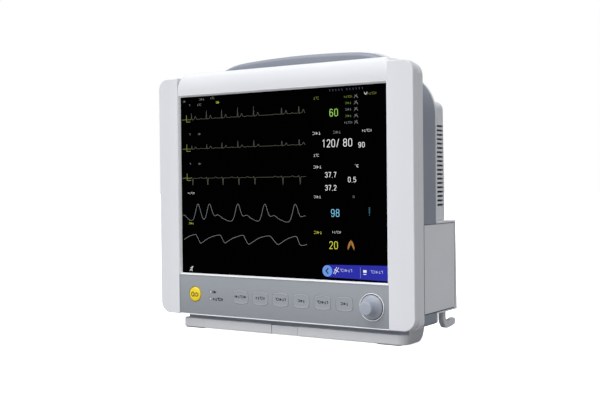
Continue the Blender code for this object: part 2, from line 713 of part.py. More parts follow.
def build_sensor_panel():
    holes = [circle(y, z, radius + 0.4, 24) for y, z, radius, _ in SOCKETS.values()]
    outline = rectangle(DOOR_FRONT, DOOR_LOW, DOOR_AXIS + 1.8, DOOR_TOP)
    plate("sensor_panel", [outline] + holes, -185.0, -181.8, LIGHT, axis=X)
    for name, (y, z, radius, mat) in SOCKETS.items():
        pit = radius * 0.68
        profile = [(0, -9.0), (pit, -9.0), (pit, 4.6), (radius * 0.9, 4.6), (radius, 4.2),
                   (radius, -14.0), (0, -14.0)]
        turned(name, profile, (-182.4, y, z), mat, steps=24, facing="left")
    box("parameter_board", (-138, 67, -148), (-138 + BOARD_THICK, 106.5, -54), BOARD)


def build_cable_hook():
    """A J-shaped strip under the battery bay; its outline is (y, z)."""
    outline = (
        [(89.0, -155.7), (96.5, -155.7), (96.5, -161.0)]
        + arc(103.0, -162.2, 6.5, 184, 262, 6)
        + [(113, -167.8), (123.0, -166.2), (124.0, -167.2), (124.0, -174.4), (122.5, -175.2),
           (113, -176.6)]
        + arc(102.8, -163.6, 13.8, 268, 184, 8)
        + [(89.0, -160.5)]
    )
    plate("cable_hook", [outline], 173.0, 180.2, LIGHT, axis=X)


# ---------------------------------------------------------------- inside

MAIN_LEFT, MAIN_RIGHT, MAIN_LOW, MAIN_HIGH, MAIN_FRONT = -100, 80, -20, 95, 34.0
POST_INSET = 8
SINK_GAPS, GAP_FIRST, GAP_PITCH, GAP_WIDTH = 8, -27.6, 6.4, 4.0
PUMP_PROFILE = [(0, 30), (13.5, 30), (13.5, -16), (11.5, -16), (11.5, -30), (3, -30), (3, -38),
                (0, -38)]


def build_chassis_and_board():
    chassis = box("internal_chassis", (-146, 26.0, -156), (146, 27.6, 108), STEEL)
    posts = [(x, z) for z in (MAIN_LOW + POST_INSET, MAIN_HIGH - POST_INSET)
             for x in (MAIN_LEFT + POST_INSET, MAIN_RIGHT - POST_INSET)]
    join(chassis, rods("board_posts", posts, 3.0, 27.0, 33.6, steps=12))
    windows = [((-60, 20, -60), (60, 30, -30)), ((-130, 20, -130), (-80, 30, -70))]
    cut(chassis, boxes("chassis_windows", windows))
    box("main_board", (MAIN_LEFT, MAIN_FRONT, MAIN_LOW),
        (MAIN_RIGHT, MAIN_FRONT + BOARD_THICK, MAIN_HIGH), BOARD)


def build_heat_sink():
    sink = box("heat_sink", (-30, 36.0, 20), (20, 50, 65), ALUMINIUM)
    starts = [GAP_FIRST + GAP_PITCH * i for i in range(SINK_GAPS)]
    cut(sink, boxes("sink_gaps", [((x, 39, 15), (x + GAP_WIDTH, 55, 70)) for x in starts]))


def build_supply_and_pump():
    box("power_supply", (-60, 42, -150), (60, 90, -88), STEEL, corner=2)
    turned("pressure_pump", PUMP_PROFILE, (-70, 80, -10), BLACK, steps=24, facing="right")


# ---------------------------------------------------------------- underside

# Turned profile (radius, z)
REAR_FOOT_PROFILE = [(0, -184.0), (8.5, -184.0), (9.5, -187.0), (9.0, -Z_FLOOR), (0, -Z_FLOOR)]


def build_base():
    base = box("base_plate", (-132, 24.8, -183.6), (132, 111, -167.4), LIGHT, corner=8, axis=Z)
    cut(
        base,
        box("base_hollow", (-128, 28, -180.6), (128, 108, -150)),
        box("latch_room", (-20.5, 20, -188), (20.5, 46, -172)),
    )
    mount = box("mounting_plate", (-50, 54, -186.4), (50, 104, -184.0), STEEL, corner=4, axis=Z)
    holes = [(x, y) for x in (-37.5, 37.5) for y in (66, 92)]
    cut(mount, rods("mount_holes", holes, 2.2, -190, -180, axis=Z, steps=16))


def build_release_tab():
    tab = box("release_tab", (-19.4, 12.0, -187.4), (19.4, 22.4, -175.9), WHITE)
    join(tab, box("tab_arm", (-8, 21, -181.0), (8, 38, -177.0)))


def build_rubber_feet():
    for label, side in (("left", -1), ("right", 1)):
        x_low, x_high = side_span(side, 129, 160)
        box("foot_front_" + label, (x_low, 13, -Z_FLOOR), (x_high, 21.5, -187.8), RUBBER,
            corner=3, axis=Z)
        turned("foot_rear_" + label, REAR_FOOT_PROFILE, (side * 112, 98, 0), RUBBER, steps=24,
               facing="up")


build_front_bezel()
build_foot_frame()
build_control_panel()
build_keys_and_lamps()
build_knob()
build_screen_and_speaker()
build_mid_housing()
build_handle()
build_rear_cover()
build_fan_grille()
build_fan_frame()
build_fan_rotor()
build_mains_inlet()
build_ports()
build_stud_and_screws()
build_bays()
build_battery_door()
build_sensor_panel()
build_cable_hook()
build_chassis_and_board()
build_heat_sink()
build_supply_and_pump()
build_base()
build_release_tab()
build_rubber_feet()
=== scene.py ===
"""A patient monitor: a white bezel round the screen and key strip, a slate housing and a light
rear cover behind it, a handle on top and a foot bar below.

x runs right, y to the rear and z up, so the front faces -y. Sizes are in millimetres from the
centre of the screen; TO_ROW turns them into the metres of the CAD pieces, which stand on z = 0.
"""

import math

import bmesh
import bpy
from mathutils import Matrix, Vector


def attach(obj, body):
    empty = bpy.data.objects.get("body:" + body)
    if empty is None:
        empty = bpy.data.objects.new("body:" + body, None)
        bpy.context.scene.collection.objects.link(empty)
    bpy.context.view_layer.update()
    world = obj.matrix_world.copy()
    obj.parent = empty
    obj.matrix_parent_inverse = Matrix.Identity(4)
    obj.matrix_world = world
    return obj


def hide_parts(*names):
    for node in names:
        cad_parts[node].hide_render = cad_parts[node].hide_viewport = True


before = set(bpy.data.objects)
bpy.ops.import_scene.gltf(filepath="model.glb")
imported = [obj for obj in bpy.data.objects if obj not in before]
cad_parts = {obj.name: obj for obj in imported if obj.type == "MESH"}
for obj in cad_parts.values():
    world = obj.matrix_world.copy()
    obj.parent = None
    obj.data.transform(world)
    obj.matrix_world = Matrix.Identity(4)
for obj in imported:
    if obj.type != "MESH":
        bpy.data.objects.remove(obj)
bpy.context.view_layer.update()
SCENE = bpy.context.scene
LINK = SCENE.collection.objects.link

Y_MIDDLE, Z_FLOOR = 52.0, 188.5
TO_ROW = Matrix.Scale(0.001, 4) @ Matrix.Translation((0, -Y_MIDDLE, Z_FLOOR))

# ------------------------------------------------------------------ material helpers


def new_material(name):
    material = bpy.data.materials.new(name)
    material.use_nodes = True
    tree = material.node_tree
    return material, tree, tree.nodes["Principled BSDF"]


def feed(tree, node, inputs):
    """Links each socket given and sets each plain value; colours gain an alpha of 1."""
    for key, value in inputs.items():
        socket = node.inputs[key]
        if isinstance(value, bpy.types.NodeSocket):
            tree.links.new(value, socket)
        elif socket.type == "RGBA":
            socket.default_value = (*value, 1.0)
        else:
            socket.default_value = value


def add(tree, kind, inputs=None, **settings):
    node = tree.nodes.new(kind)
    for key, value in settings.items():
        setattr(node, key, value)
    feed(tree, node, inputs or {})
    return node


def object_coords(tree):
    return add(tree, "ShaderNodeTexCoord").outputs["Object"]


def noise(tree, vector, scale, detail, rough=0.5):
    inputs = {"Scale": scale, "Detail": detail, "Roughness": rough, "Vector": vector}
    return add(tree, "ShaderNodeTexNoise", inputs).outputs["Fac"]


def ramp(tree, fac, low, high):
    """A colour ramp between two (position, colour) stops; a plain number is a grey."""
    node = add(tree, "ShaderNodeValToRGB", {"Fac": fac})
    for element, (position, colour) in zip(node.color_ramp.elements, (low, high)):
        element.position = position
        element.color = (*(colour if isinstance(colour, tuple) else (colour,) * 3), 1.0)
    return node.outputs["Color"]


def to_value(tree, colour):
    return add(tree, "ShaderNodeRGBToBW", {0: colour}).outputs[0]


def map_range(tree, value, limits):
    return add(tree, "ShaderNodeMapRange", {**limits, "Value": value}).outputs["Result"]


def mix(tree, fac, first, second, blend="MIX"):
    # sockets 6 and 7 are the colour pair of the mix node
    inputs = {0: fac, 6: first, 7: second}
    return add(tree, "ShaderNodeMix", inputs, data_type="RGBA", blend_type=blend).outputs[2]


def plastic(name, rgb, rough, grain=1500.0, bump=0.00003, vary=0.05, edge=0.25, spec=0.4,
            metallic=0.0, coat=0.0, stretch=None, painted_light_fall=None, rough_vary=0.08):
    """Moulded or painted surface: fine grain, slow colour drift, uneven gloss, and a painted
    highlight on the edges.

    grain is the noise scale and bump its relief in metres; vary is the colour drift, edge the
    strength of the painted highlight on convex edges, and stretch scales the grain along each
    axis. painted_light_fall is (low z, high z, darker, lighter), in metres: painted light and
    shade for a part that is darker at the bottom and brightens towards the top."""
    material, tree, shader = new_material(name)
    coords = object_coords(tree)
    fine = coords
    if stretch:
        mapping = add(tree, "ShaderNodeMapping", {"Scale": stretch, "Vector": coords})
        fine = mapping.outputs["Vector"]
    slow = noise(tree, coords, scale=9.0, detail=4.0, rough=0.55)
    speck = noise(tree, fine, scale=grain, detail=2.0, rough=0.6)
    dark = tuple(c * (1 - vary) for c in rgb)
    light = tuple(min(1.0, c * (1 + vary)) for c in rgb)
    colour = ramp(tree, slow, low=(0.3, dark), high=(0.7, light))
    # painted light and shade: the colour darkens towards the bottom of the part and lightens
    # towards its top
    if painted_light_fall:
        low, high, under, over = painted_light_fall
        height = add(tree, "ShaderNodeSeparateXYZ", {0: coords}).outputs["Z"]
        share = map_range(tree, height, {"From Min": low, "From Max": high})
        shade = ramp(tree, share, low=(0.0, under), high=(1.0, over))
        colour = mix(tree, 1.0, colour, shade, "MULTIPLY")
    speckle = ramp(tree, speck, low=(0.35, 0.965), high=(0.65, 1.0))
    colour = mix(tree, 1.0, colour, speckle, "MULTIPLY")
    # painted highlight: convex edges, found by pointiness, are lightened towards a brighter tone
    if edge:
        point = add(tree, "ShaderNodeNewGeometry").outputs["Pointiness"]
        edge_highlight = to_value(tree, ramp(tree, point, low=(0.53, 0.0), high=(0.62, edge)))
        highlight_tone = tuple(min(1.0, c * 1.25 + 0.03) for c in rgb)
        colour = mix(tree, edge_highlight, colour, highlight_tone)
    gloss = map_range(tree, speck, {
        "To Min": max(0.02, rough - rough_vary),
        "To Max": min(1.0, rough + rough_vary),
    })
    relief = add(tree, "ShaderNodeBump", {"Strength": 0.5, "Distance": bump, "Height": speck})
    feed(tree, shader, {
        "Base Color": colour,
        "Roughness": gloss,
        "Normal": relief.outputs["Normal"],
        "Metallic": metallic,
        "Specular IOR Level": spec,
        "Coat Weight": coat,
    })
    return material


def board_material():
    """Solder mask over faint copper tracks and pads."""
    material, tree, shader = new_material("board_green")
    # a quarter turn lays the pattern on the upright boards
    turn = add(tree, "ShaderNodeMapping", {
        "Rotation": (math.pi / 2, 0, 0),
        "Vector": object_coords(tree),
    }).outputs["Vector"]
    tracks = add(tree, "ShaderNodeTexBrick", {
        "Scale": 90.0,
        "Color1": (0.015, 0.16, 0.055),
        "Color2": (0.02, 0.12, 0.05),
        "Mortar": (0.05, 0.26, 0.09),
        "Mortar Size": 0.04,
        "Vector": turn,
    }).outputs["Color"]
    pads = add(tree, "ShaderNodeTexVoronoi", {"Scale": 220.0, "Vector": turn})
    spots = ramp(tree, pads.outputs["Distance"], low=(0.12, 1.0), high=(0.16, 0.0))
    tin = (0.72, 0.68, 0.55)
    colour = mix(tree, to_value(tree, spots), tracks, tin)
    feed(tree, shader, {"Base Color": colour, "Roughness": 0.4})
    return material


def glow(name, rgb, strength, grain=0.12):
    """Lit picture of the display: brightness varies a little, by grain, from dot to dot."""
    material, tree, shader = new_material(name)
    level = map_range(tree, noise(tree, object_coords(tree), scale=3300.0, detail=1.0), {
        "To Min": strength * (1 - grain),
        "To Max": strength * (1 + grain),
    })
    feed(tree, shader, {
        "Emission Strength": level,
        "Emission Color": rgb,
        "Base Color": (0.01, 0.01, 0.01),
        "Roughness": 0.6,
        "Specular IOR Level": 0.1,
    })
    return material


# ------------------------------------------------------------------ materials

WHITE = plastic("shell_white", rgb=(0.715, 0.725, 0.755), rough=0.42, vary=0.012)
LIGHT = plastic("shell_light", rgb=(0.70, 0.715, 0.745), rough=0.46, vary=0.02)
RIM = plastic("rim_white", rgb=(0.93, 0.94, 0.96), rough=0.30, bump=0.00001, vary=0.01, edge=0)
SLATE = plastic("shell_slate", rgb=(0.25, 0.275, 0.33), rough=0.44, vary=0.04)
# the key panel carries painted light and shade, darker at its bottom and lighter at its top
SILVER = plastic("panel_silver", rgb=(0.305, 0.325, 0.355), rough=0.42, grain=2600, vary=0.02,
                 spec=0.35, painted_light_fall=(0.0215, 0.070, 0.86, 1.10), edge=0.1)
KEYCAP = plastic("key_silver", rgb=(0.315, 0.335, 0.365), rough=0.42, grain=2600, vary=0.02,
                 edge=0)
# lighter grey: painted highlight on the arcs at the top and bottom of each key, and the knob dot's
# own colour
KEY_HIGHLIGHT_AND_DOT = plastic("key_highlight_and_dot", rgb=(0.46, 0.48, 0.51), rough=0.35, grain=2600, vary=0.02, edge=0)
PRINT = plastic("print_dark", rgb=(0.016, 0.018, 0.026), rough=0.55, edge=0)
YELLOW = plastic("button_yellow", rgb=(0.92, 0.68, 0.012), rough=0.34, grain=2200,
                 bump=0.00001, vary=0.02, edge=0.15, coat=0.2)
OLIVE = plastic("print_olive", rgb=(0.045, 0.036, 0.008), rough=0.5, edge=0)
KNOB = plastic("knob_grey", rgb=(0.36, 0.39, 0.455), rough=0.36, grain=2600, bump=0.000012,
               vary=0.02, edge=0.3, coat=0.15)
CUP = plastic("knob_cup", rgb=(0.12, 0.13, 0.15), rough=0.5, edge=0)
LENS = plastic("lens_clear", rgb=(0.60, 0.62, 0.65), rough=0.18, bump=0.000005, vary=0.03,
               edge=0, coat=0.5)
RUBBER = plastic("rubber", rgb=(0.30, 0.30, 0.31), rough=0.85, grain=900, bump=0.00008,
                 vary=0.08, edge=0.1)
BLACK = plastic("black_plastic", rgb=(0.025, 0.026, 0.028), rough=0.5, vary=0.1, edge=0.3)
BLUE = plastic("socket_blue", rgb=(0.03, 0.13, 0.42), rough=0.38, edge=0.2)
STEEL = plastic("steel", rgb=(0.56, 0.57, 0.59), rough=0.32, grain=700, bump=0.00002, vary=0.06,
                metallic=1.0, stretch=(1, 1, 25), edge=0.4, rough_vary=0.14)
ALUMINIUM = plastic("aluminium", rgb=(0.66, 0.67, 0.69), rough=0.36, grain=600, bump=0.00002,
                    metallic=1.0, stretch=(20, 1, 1), edge=0.4, rough_vary=0.14)
BRASS = plastic("brass", rgb=(0.74, 0.52, 0.20), rough=0.28, grain=900, bump=0.00001, vary=0.08,
                metallic=1.0, edge=0.3)
GLASS = plastic("screen_glass", rgb=(0.0005, 0.0005, 0.0006), rough=0.6, grain=5200,
                bump=0.000004, vary=0.1, edge=0, spec=0.0)
BOARD = board_material()

# ------------------------------------------------------------------ mesh helpers


def bake(name, shape):
    """Turns a bmesh into a mesh and frees it."""
    mesh = bpy.data.meshes.new(name)
    shape.to_mesh(mesh)
    shape.free()
    return mesh


def smooth(obj, angle=35):
    obj.data.shade_smooth()
    obj.data.set_sharp_from_angle(angle=math.radians(angle))


def weight_normals(obj):
    obj.modifiers.new("normals", "WEIGHTED_NORMAL").keep_sharp = True


def emit(name, shape, material, body="case", node=None, angle=35, slot=None, weighted=True,
         in_row=False):
    """Makes an object that rides on body and stands in for the CAD piece node, if given."""
    if not in_row:
        bmesh.ops.transform(shape, matrix=TO_ROW, verts=shape.verts)
    bmesh.ops.recalc_face_normals(shape, faces=shape.faces)
    obj = bpy.data.objects.new(name, bake(name, shape))
    LINK(obj)
    obj.data.materials.append(material)
    smooth(obj, angle)
    if weighted:
        weight_normals(obj)
    if node:
        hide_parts(node)
    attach(obj, body)
    return obj


def remake(node, shape, material, **options):
    """Emits the new shape of a CAD piece, under the piece's own name."""
    return emit(node + "_shape", shape, material, node=node, **options)


def refine(node, material, width, segments=2, **options):
    """A finer copy of a CAD piece: flat faces made whole again and edges rounded by width."""
    shape = bmesh.new()
    shape.from_mesh(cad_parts[node].data)
    bmesh.ops.remove_doubles(shape, verts=shape.verts, dist=0.000002)
    bmesh.ops.dissolve_limit(shape, angle_limit=math.radians(1.0), verts=shape.verts,
                             edges=shape.edges)
    obj = remake(node, shape, material, in_row=True, weighted=False, **options)
    edge = obj.modifiers.new("edges", "BEVEL")
    edge.width = width * 0.001
    edge.segments = segments
    edge.limit_method = "ANGLE"
    edge.angle_limit = math.radians(30)
    edge.use_clamp_overlap = True
    edge.harden_normals = False
    weight_normals(obj)


def arc(centre_x, centre_z, radius, start, end, steps=10):
    """Points along an arc, its angles in degrees."""
    angles = [math.radians(start + (end - start) * i / steps) for i in range(steps + 1)]
    return [(centre_x + radius * math.cos(a), centre_z + radius * math.sin(a)) for a in angles]


def circle(centre_x, centre_z, radius, steps=64):
    return arc(centre_x, centre_z, radius, 0, 360, steps)[:-1]


def rectangle(x_low, z_low, x_high, z_high):
    return [(x_low, z_low), (x_high, z_low), (x_high, z_high), (x_low, z_high)]


def flipped(points):
    """The points mirrored left to right, in reverse order."""
    return [(-x, z) for x, z in reversed(points)]


# turns a flat shape so that its thickness lies along x (0), y (1) or z (2)
TURNS = {
    0: Matrix(((0, 0, 1, 0), (1, 0, 0, 0), (0, 1, 0, 0), (0, 0, 0, 1))),
    1: Matrix(((1, 0, 0, 0), (0, 0, -1, 0), (0, 1, 0, 0), (0, 0, 0, 1))),
    2: Matrix.Identity(4),
}


def merge(into, shape):
    """Moves shape into another bmesh, if one is given, and returns the one that holds it."""
    if into is None:
        return shape
    mesh = bake("merge", shape)
    into.from_mesh(mesh)
    bpy.data.meshes.remove(mesh)
    return into


def slab(loops, low, high, axis=1, bevel=0.0, steps=3, into=None):
    """A flat outline with holes, extruded along an axis, its edges rounded by bevel."""
    curve = bpy.data.curves.new("slab", "CURVE")
    curve.dimensions = "2D"
    curve.fill_mode = "BOTH"
    curve.extrude = (high - low) / 2 - bevel
    curve.bevel_depth = bevel
    curve.bevel_resolution = steps
    curve.offset = -bevel
    for loop in loops:
        outline = curve.splines.new("POLY")
        outline.points.add(len(loop) - 1)
        for point, (across, along) in zip(outline.points, loop):
            point.co = (across, along, 0, 1)
        outline.use_cyclic_u = True
    flat = bpy.data.objects.new("slab", curve)
    LINK(flat)
    graph = bpy.context.evaluated_depsgraph_get()
    mesh = bpy.data.meshes.new_from_object(flat.evaluated_get(graph))
    bpy.data.objects.remove(flat)
    bpy.data.curves.remove(curve)
    shape = bmesh.new()
    shape.from_mesh(mesh)
    bpy.data.meshes.remove(mesh)
    bmesh.ops.remove_doubles(shape, verts=shape.verts, dist=0.0005)
    bmesh.ops.transform(shape, matrix=TURNS[axis], verts=shape.verts)
    shift = Vector((0, 0, 0))
    shift[axis] = (low + high) / 2
    bmesh.ops.translate(shape, vec=shift, verts=shape.verts)
    bmesh.ops.recalc_face_normals(shape, faces=shape.faces)
    return merge(into, shape)


def bevel_edges(shape, edges, offset, segments, **options):
    bmesh.ops.bevel(shape, geom=edges, offset=offset, segments=segments, profile=0.5,
                    affect="EDGES", **options)


def cube(low, high, corner=0.0, axis=1, steps=4, soft=0.0, into=None):
    """A box, the edges along an axis rounded by corner, then all sharp edges by soft."""
    shape = bmesh.new()
    made = bmesh.ops.create_cube(shape, size=1.0)["verts"]
    bmesh.ops.scale(shape, vec=[b - a for a, b in zip(low, high)], verts=made)
    bmesh.ops.translate(shape, vec=[(a + b) / 2 for a, b in zip(low, high)], verts=made)
    if corner:
        along = [e for e in shape.edges
                 if abs((e.verts[0].co - e.verts[1].co)[axis]) > 1e-6]
        bevel_edges(shape, along, corner, steps)
    if soft:
        sharp = [e for e in shape.edges
                 if len(e.link_faces) == 2 and e.calc_face_angle(0) > 0.9]
        bevel_edges(shape, sharp, soft, 3, clamp_overlap=True)
    return merge(into, shape)


def side_cube(side, low, high, **options):
    """A box given for the right-hand side, and mirrored in x when side is -1."""
    x_low, x_high = sorted((side * low[0], side * high[0]))
    return cube((x_low, *low[1:]), (x_high, *high[1:]), **options)


def lathe(profile, centre, steps=72, direction=(0, -1, 0), closed=False, into=None):
    """Turns (radius, height) points about a direction through centre."""
    shape = into if into is not None else bmesh.new()
    way = Vector(direction).normalized()
    side = way.orthogonal().normalized()
    other = way.cross(side)
    turns = [math.tau * i / steps for i in range(steps)]
    rings = []
    for radius, height in profile:
        middle = Vector(centre) + way * height
        if radius <= 1e-9:
            rings.append([shape.verts.new(middle)])
        else:
            rings.append([
                shape.verts.new(middle + radius * (side * math.cos(a) + other * math.sin(a)))
                for a in turns
            ])
    for a, b in list(zip(rings, rings[1:])) + ([(rings[-1], rings[0])] if closed else []):
        for i in range(steps):
            j = (i + 1) % steps
            if len(a) == 1:
                shape.faces.new((a[0], b[i], b[j]))
            elif len(b) == 1:
                shape.faces.new((a[i], b[0], a[j]))
            else:
                shape.faces.new((a[i], b[i], b[j], a[j]))
    return shape


def drill(radius, half_length, centre, steps):
    """A plain cylinder along y, for cutting a round hole."""
    profile = [(0, half_length), (radius, half_length), (radius, -half_length), (0, -half_length)]
    return lathe(profile, centre, steps)


def loft(sections, into=None, ring=False):
    """Joins sections of equal point count; ring joins the last to the first."""
    shape = into if into is not None else bmesh.new()
    rows = [[shape.verts.new(p) for p in section] for section in sections]
    count = len(rows[0])
    for a, b in list(zip(rows, rows[1:])) + ([(rows[-1], rows[0])] if ring else []):
        for i in range(count):
            j = (i + 1) % count
            shape.faces.new((a[i], a[j], b[j], b[i]))
    if not ring:
        shape.faces.new(rows[0])
        shape.faces.new(list(reversed(rows[-1])))
    return shape


def thick(into, points, width, front, back, closed=False):
    """A strip of the given width along (x, z) points, from y = front to y = back."""
    path = [Vector(p) for p in points]
    last = len(path) - 1
    rows = []
    for i, point in enumerate(path):
        arrive = (point - path[i - 1]).normalized() if closed or i else None
        leave = (path[(i + 1) % len(path)] - point).normalized() if closed or i < last else None
        arrive, leave = arrive or leave, leave or arrive
        tangent = (arrive + leave).normalized()
        normal = Vector((-tangent.y, tangent.x))
        # widens the joint so that the strip keeps its width round a corner
        mitre = 1.0 / max(0.5, abs(normal.dot(Vector((-arrive.y, arrive.x)))))
        a = point + normal * width / 2 * mitre
        b = point - normal * width / 2 * mitre
        corners = ((a.x, front, a.y), (b.x, front, b.y), (b.x, back, b.y), (a.x, back, a.y))
        rows.append([into.verts.new(corner) for corner in corners])
    for a, b in list(zip(rows, rows[1:])) + ([(rows[-1], rows[0])] if closed else []):
        for i in range(4):
            j = (i + 1) % 4
            into.faces.new((a[i], a[j], b[j], b[i]))
    if not closed:
        into.faces.new(rows[0])
        into.faces.new(list(reversed(rows[-1])))


def boolean(obj, shape, operation="DIFFERENCE"):
    """Cuts shape from obj or joins it, and keeps the result as obj's mesh."""
    bmesh.ops.transform(shape, matrix=TO_ROW, verts=shape.verts)
    bmesh.ops.recalc_face_normals(shape, faces=shape.faces)
    mesh = bake("tool", shape)
    tool = bpy.data.objects.new("tool", mesh)
    LINK(tool)
    modifier = obj.modifiers.new("cut", "BOOLEAN")
    modifier.operation = operation
    modifier.object = tool
    modifier.solver = "EXACT"
    others = [m for m in obj.modifiers if m != modifier]
    for other in others:
        other.show_viewport = False
    graph = bpy.context.evaluated_depsgraph_get()
    result = bpy.data.meshes.new_from_object(obj.evaluated_get(graph))
    obj.modifiers.remove(modifier)
    for other in others:
        other.show_viewport = True
    obj.data = result
    bpy.data.objects.remove(tool)
    bpy.data.meshes.remove(mesh)
    smooth(obj)


# ------------------------------------------------------------------ front bezel

BEZEL_FRONT, BEZEL_REAR = -4.0, 8.7
BEZEL_LOW = -168.5
PILLAR_INNER, PILLAR_TOP = 154.9, 140.0
LOWER_RADIUS, UPPER_RADIUS = 15, 14
RAIL_END = 154.6


def pillar(side, outer):
    """One side of the bezel: outer corners round, inner edge straight."""
    outline = [(PILLAR_INNER, BEZEL_LOW)]
    outline += arc(outer - LOWER_RADIUS, BEZEL_LOW + LOWER_RADIUS, LOWER_RADIUS, -90, 0, 16)
    outline += arc(outer - UPPER_RADIUS, PILLAR_TOP - UPPER_RADIUS, UPPER_RADIUS, 0, 90, 16)
    outline += [(PILLAR_INNER, PILLAR_TOP)]
    shape = bmesh.new()
    face = shape.faces.new([shape.verts.new((side * x, BEZEL_FRONT, z)) for x, z in outline])
    made = bmesh.ops.extrude_face_region(shape, geom=[face])["geom"]
    bmesh.ops.translate(shape, vec=(0, BEZEL_REAR - BEZEL_FRONT, 0),
                        verts=[g for g in made if isinstance(g, bmesh.types.BMVert)])
    bmesh.ops.recalc_face_normals(shape, faces=shape.faces)

    def outer_edges(y):
        return [e for e in shape.edges
                if all(abs(v.co.y - y) < 1e-4 for v in e.verts)
                and not all(abs(v.co.x - side * PILLAR_INNER) < 1e-4 for v in e.verts)]

    bevel_edges(shape, outer_edges(BEZEL_FRONT), 1.2, 5)
    bevel_edges(shape, outer_edges(BEZEL_REAR), 0.8, 3)
    return shape


emit("bezel_pillar_left", pillar(-1, outer=186.6), WHITE, node="front_bezel")
emit("bezel_pillar_right", pillar(1, outer=188.0), WHITE)


def rail_section(x):
    """Cut through the top rail: a rounded front, its top sinking towards the ends."""
    low, spring = 117.5, 122.0
    share = max(0.0, min(1.0, (abs(x) - 148.5) / 6.2))
    top = 145.7 - 5.0 * (share * share * (3 - 2 * share) * 0.35 + share * 0.65)
    points = [(-3.5, low), (-3.8, low + 0.3), (-3.8, spring)]
    for degrees in range(172, 89, -8):
        a = math.radians(degrees)
        points.append((8.0 + 11.8 * math.cos(a), spring + (top - spring) * math.sin(a)))
    points += [(BEZEL_REAR, top), (BEZEL_REAR, low)]
    return [(x, y, z) for y, z in points]


rail_edge = [144.0, 148.0, 149.0, 150.0, 151.0, 152.2, 153.4, RAIL_END]
stations = [-x for x in reversed(rail_edge)] + [-120 + 20 * i for i in range(13)] + rail_edge
emit("bezel_rail", loft([rail_section(x) for x in stations]), WHITE, angle=40)

# lip under the key panel
lip = cube((-RAIL_END, -3.6, BEZEL_LOW), (RAIL_END, BEZEL_REAR, -167.2), soft=0.4)
emit("bezel_lip", lip, RIM, slot="shell_white")


def rim_loop(inset, y):
    x, low, high = 154.75 - inset, -117.0 + inset * 0.9, 117.7 - inset * 1.15
    return [(-x, y, low), (x, y, low), (x, y, high), (-x, y, high)]


# (inset, y) of the loops round the screen, from the outside in
RIM_LOOPS = [(0, -0.25), (0, -3.45), (0.25, -3.85), (0.6, -3.85), (1.2, -3.0), (2.35, -0.6),
             (2.5, -0.25)]
emit("screen_rim", loft([rim_loop(*at) for at in RIM_LOOPS], ring=True), RIM,
     slot="shell_white", angle=20)

# thin wall behind the rim, round the screen
backing = [rectangle(-165, -126, 165, 126.5), rectangle(-163.9, -124.9, 163.9, 125.4)]
emit("screen_backing", slab(backing, 0.4, 8.4, bevel=0.15, steps=1), WHITE)

# ------------------------------------------------------------------ second layer and foot bar

layer_right = arc(178.1, -159.6, 9.4, -90, 0, 14) + arc(170.5, 122.5, 17, 0, 90, 16)
layer_right += [(156, 139.5), (153.5, 140.6), (150.5, 143.4), (148, 144.9)]
layer = [layer_right + flipped(layer_right), rectangle(-166, -158, 166, 127.5)]
emit("second_layer", slab(layer, 9.2, 22.4, bevel=1.1, steps=4), WHITE, node="foot_frame")

WALL = [(-184.5, -150), (184.5, -150), (184.5, 118), (172, 133), (147, 137.5),
        (-147, 137.5), (-172, 133), (-184.5, 118)]
wall = slab([WALL, rectangle(-158, -140, 158, 60)], 20.8, 22.0, bevel=0.2, steps=1)
emit("layer_wall", wall, WHITE)

# neck above the foot bar, with an arm to the rear on the left
NECK_LEFT = -158
neck = cube((NECK_LEFT, 19.6, -176.0), (166.8, 22.4, -168.4), soft=0.3)
cube((NECK_LEFT, 20.5, -176.0), (-150, 58, -167.4), soft=0.3, into=neck)
# slate, the housing's own colour, which here also paints the shade of the recess above the foot bar
emit("foot_neck", neck, SLATE)

# the foot seen from above, as (x, y): a front bar with arms that run back under the case
ARM_REAR = 60
foot_plan = [(-134, ARM_REAR), (-134, 24.6), (134, 24.6), (134, ARM_REAR), (168.5, ARM_REAR)]
foot_plan += reversed(arc(156.5, 24, 12, -90, 0, 20))
foot_plan += [(-x, y) for x, y in arc(155.5, 20, 8, -90, 0, 12)]
foot_plan += [(-163.5, 22.4), (NECK_LEFT, 22.4), (NECK_LEFT, ARM_REAR)]
foot = emit("foot_bar", slab([foot_plan], -187.5, -175.6, axis=2, bevel=1.3, steps=4), WHITE)
# the right arm fills the room up to the case; both arms end in a round heel
block_plan = [(150, ARM_REAR), (150, 22.6), (167.4, 22.6), (168.5, 24.6), (168.5, ARM_REAR)]
boolean(foot, slab([block_plan], -180.0, -167.4, axis=2, bevel=0.3, steps=2), "UNION")
heel = arc(42, -169.5, 18, -90, 0, 28) + [(90, -169.5), (90, -196), (42, -196)]
boolean(foot, slab([heel], -200, 200, axis=0))
boolean(foot, cube((-20.0, 5, -195), (20.0, 30, -175)))
seams = bmesh.new()
for x in (-128.0, 128.0):
    cube((x - 0.25, 11, -188), (x + 0.25, 12.3, -175), into=seams)
boolean(foot, seams)

tab_shape = cube((-19.5, 12.15, -187.3), (19.5, 22.3, -176.1), soft=0.7)
tab_arm = cube((-8, 22.0, -181.0), (8, 38, -177.0), soft=0.4)
tab = remake("release_tab", tab_shape, WHITE, body="release_tab")
boolean(tab, tab_arm, "UNION")

# ------------------------------------------------------------------ key panel

POWER_X, POWER_Z = POWER_AT = (-129.2, -141.7)
KNOB_X, KNOB_Z = KNOB_AT = (132.6, -143.1)
KEY_LEGENDS = {"silence": 7, "pause": 5, "freeze": 6, "pressure": 4, "record": 6, "menu": 4}
KEY_X = {name: -56.0 + 30.3 * i for i, name in enumerate(KEY_LEGENDS)}
KEY_Z, KEY_WIDTH, KEY_HEIGHT = -141.7, 23.6, 17.6
LENS_X, MAINS_Z, ON_Z = -104.4, -137.6, -146.6
LENSES = {"led_lens_mains": (LENS_X, MAINS_Z), "led_lens_power": (LENS_X, ON_Z)}


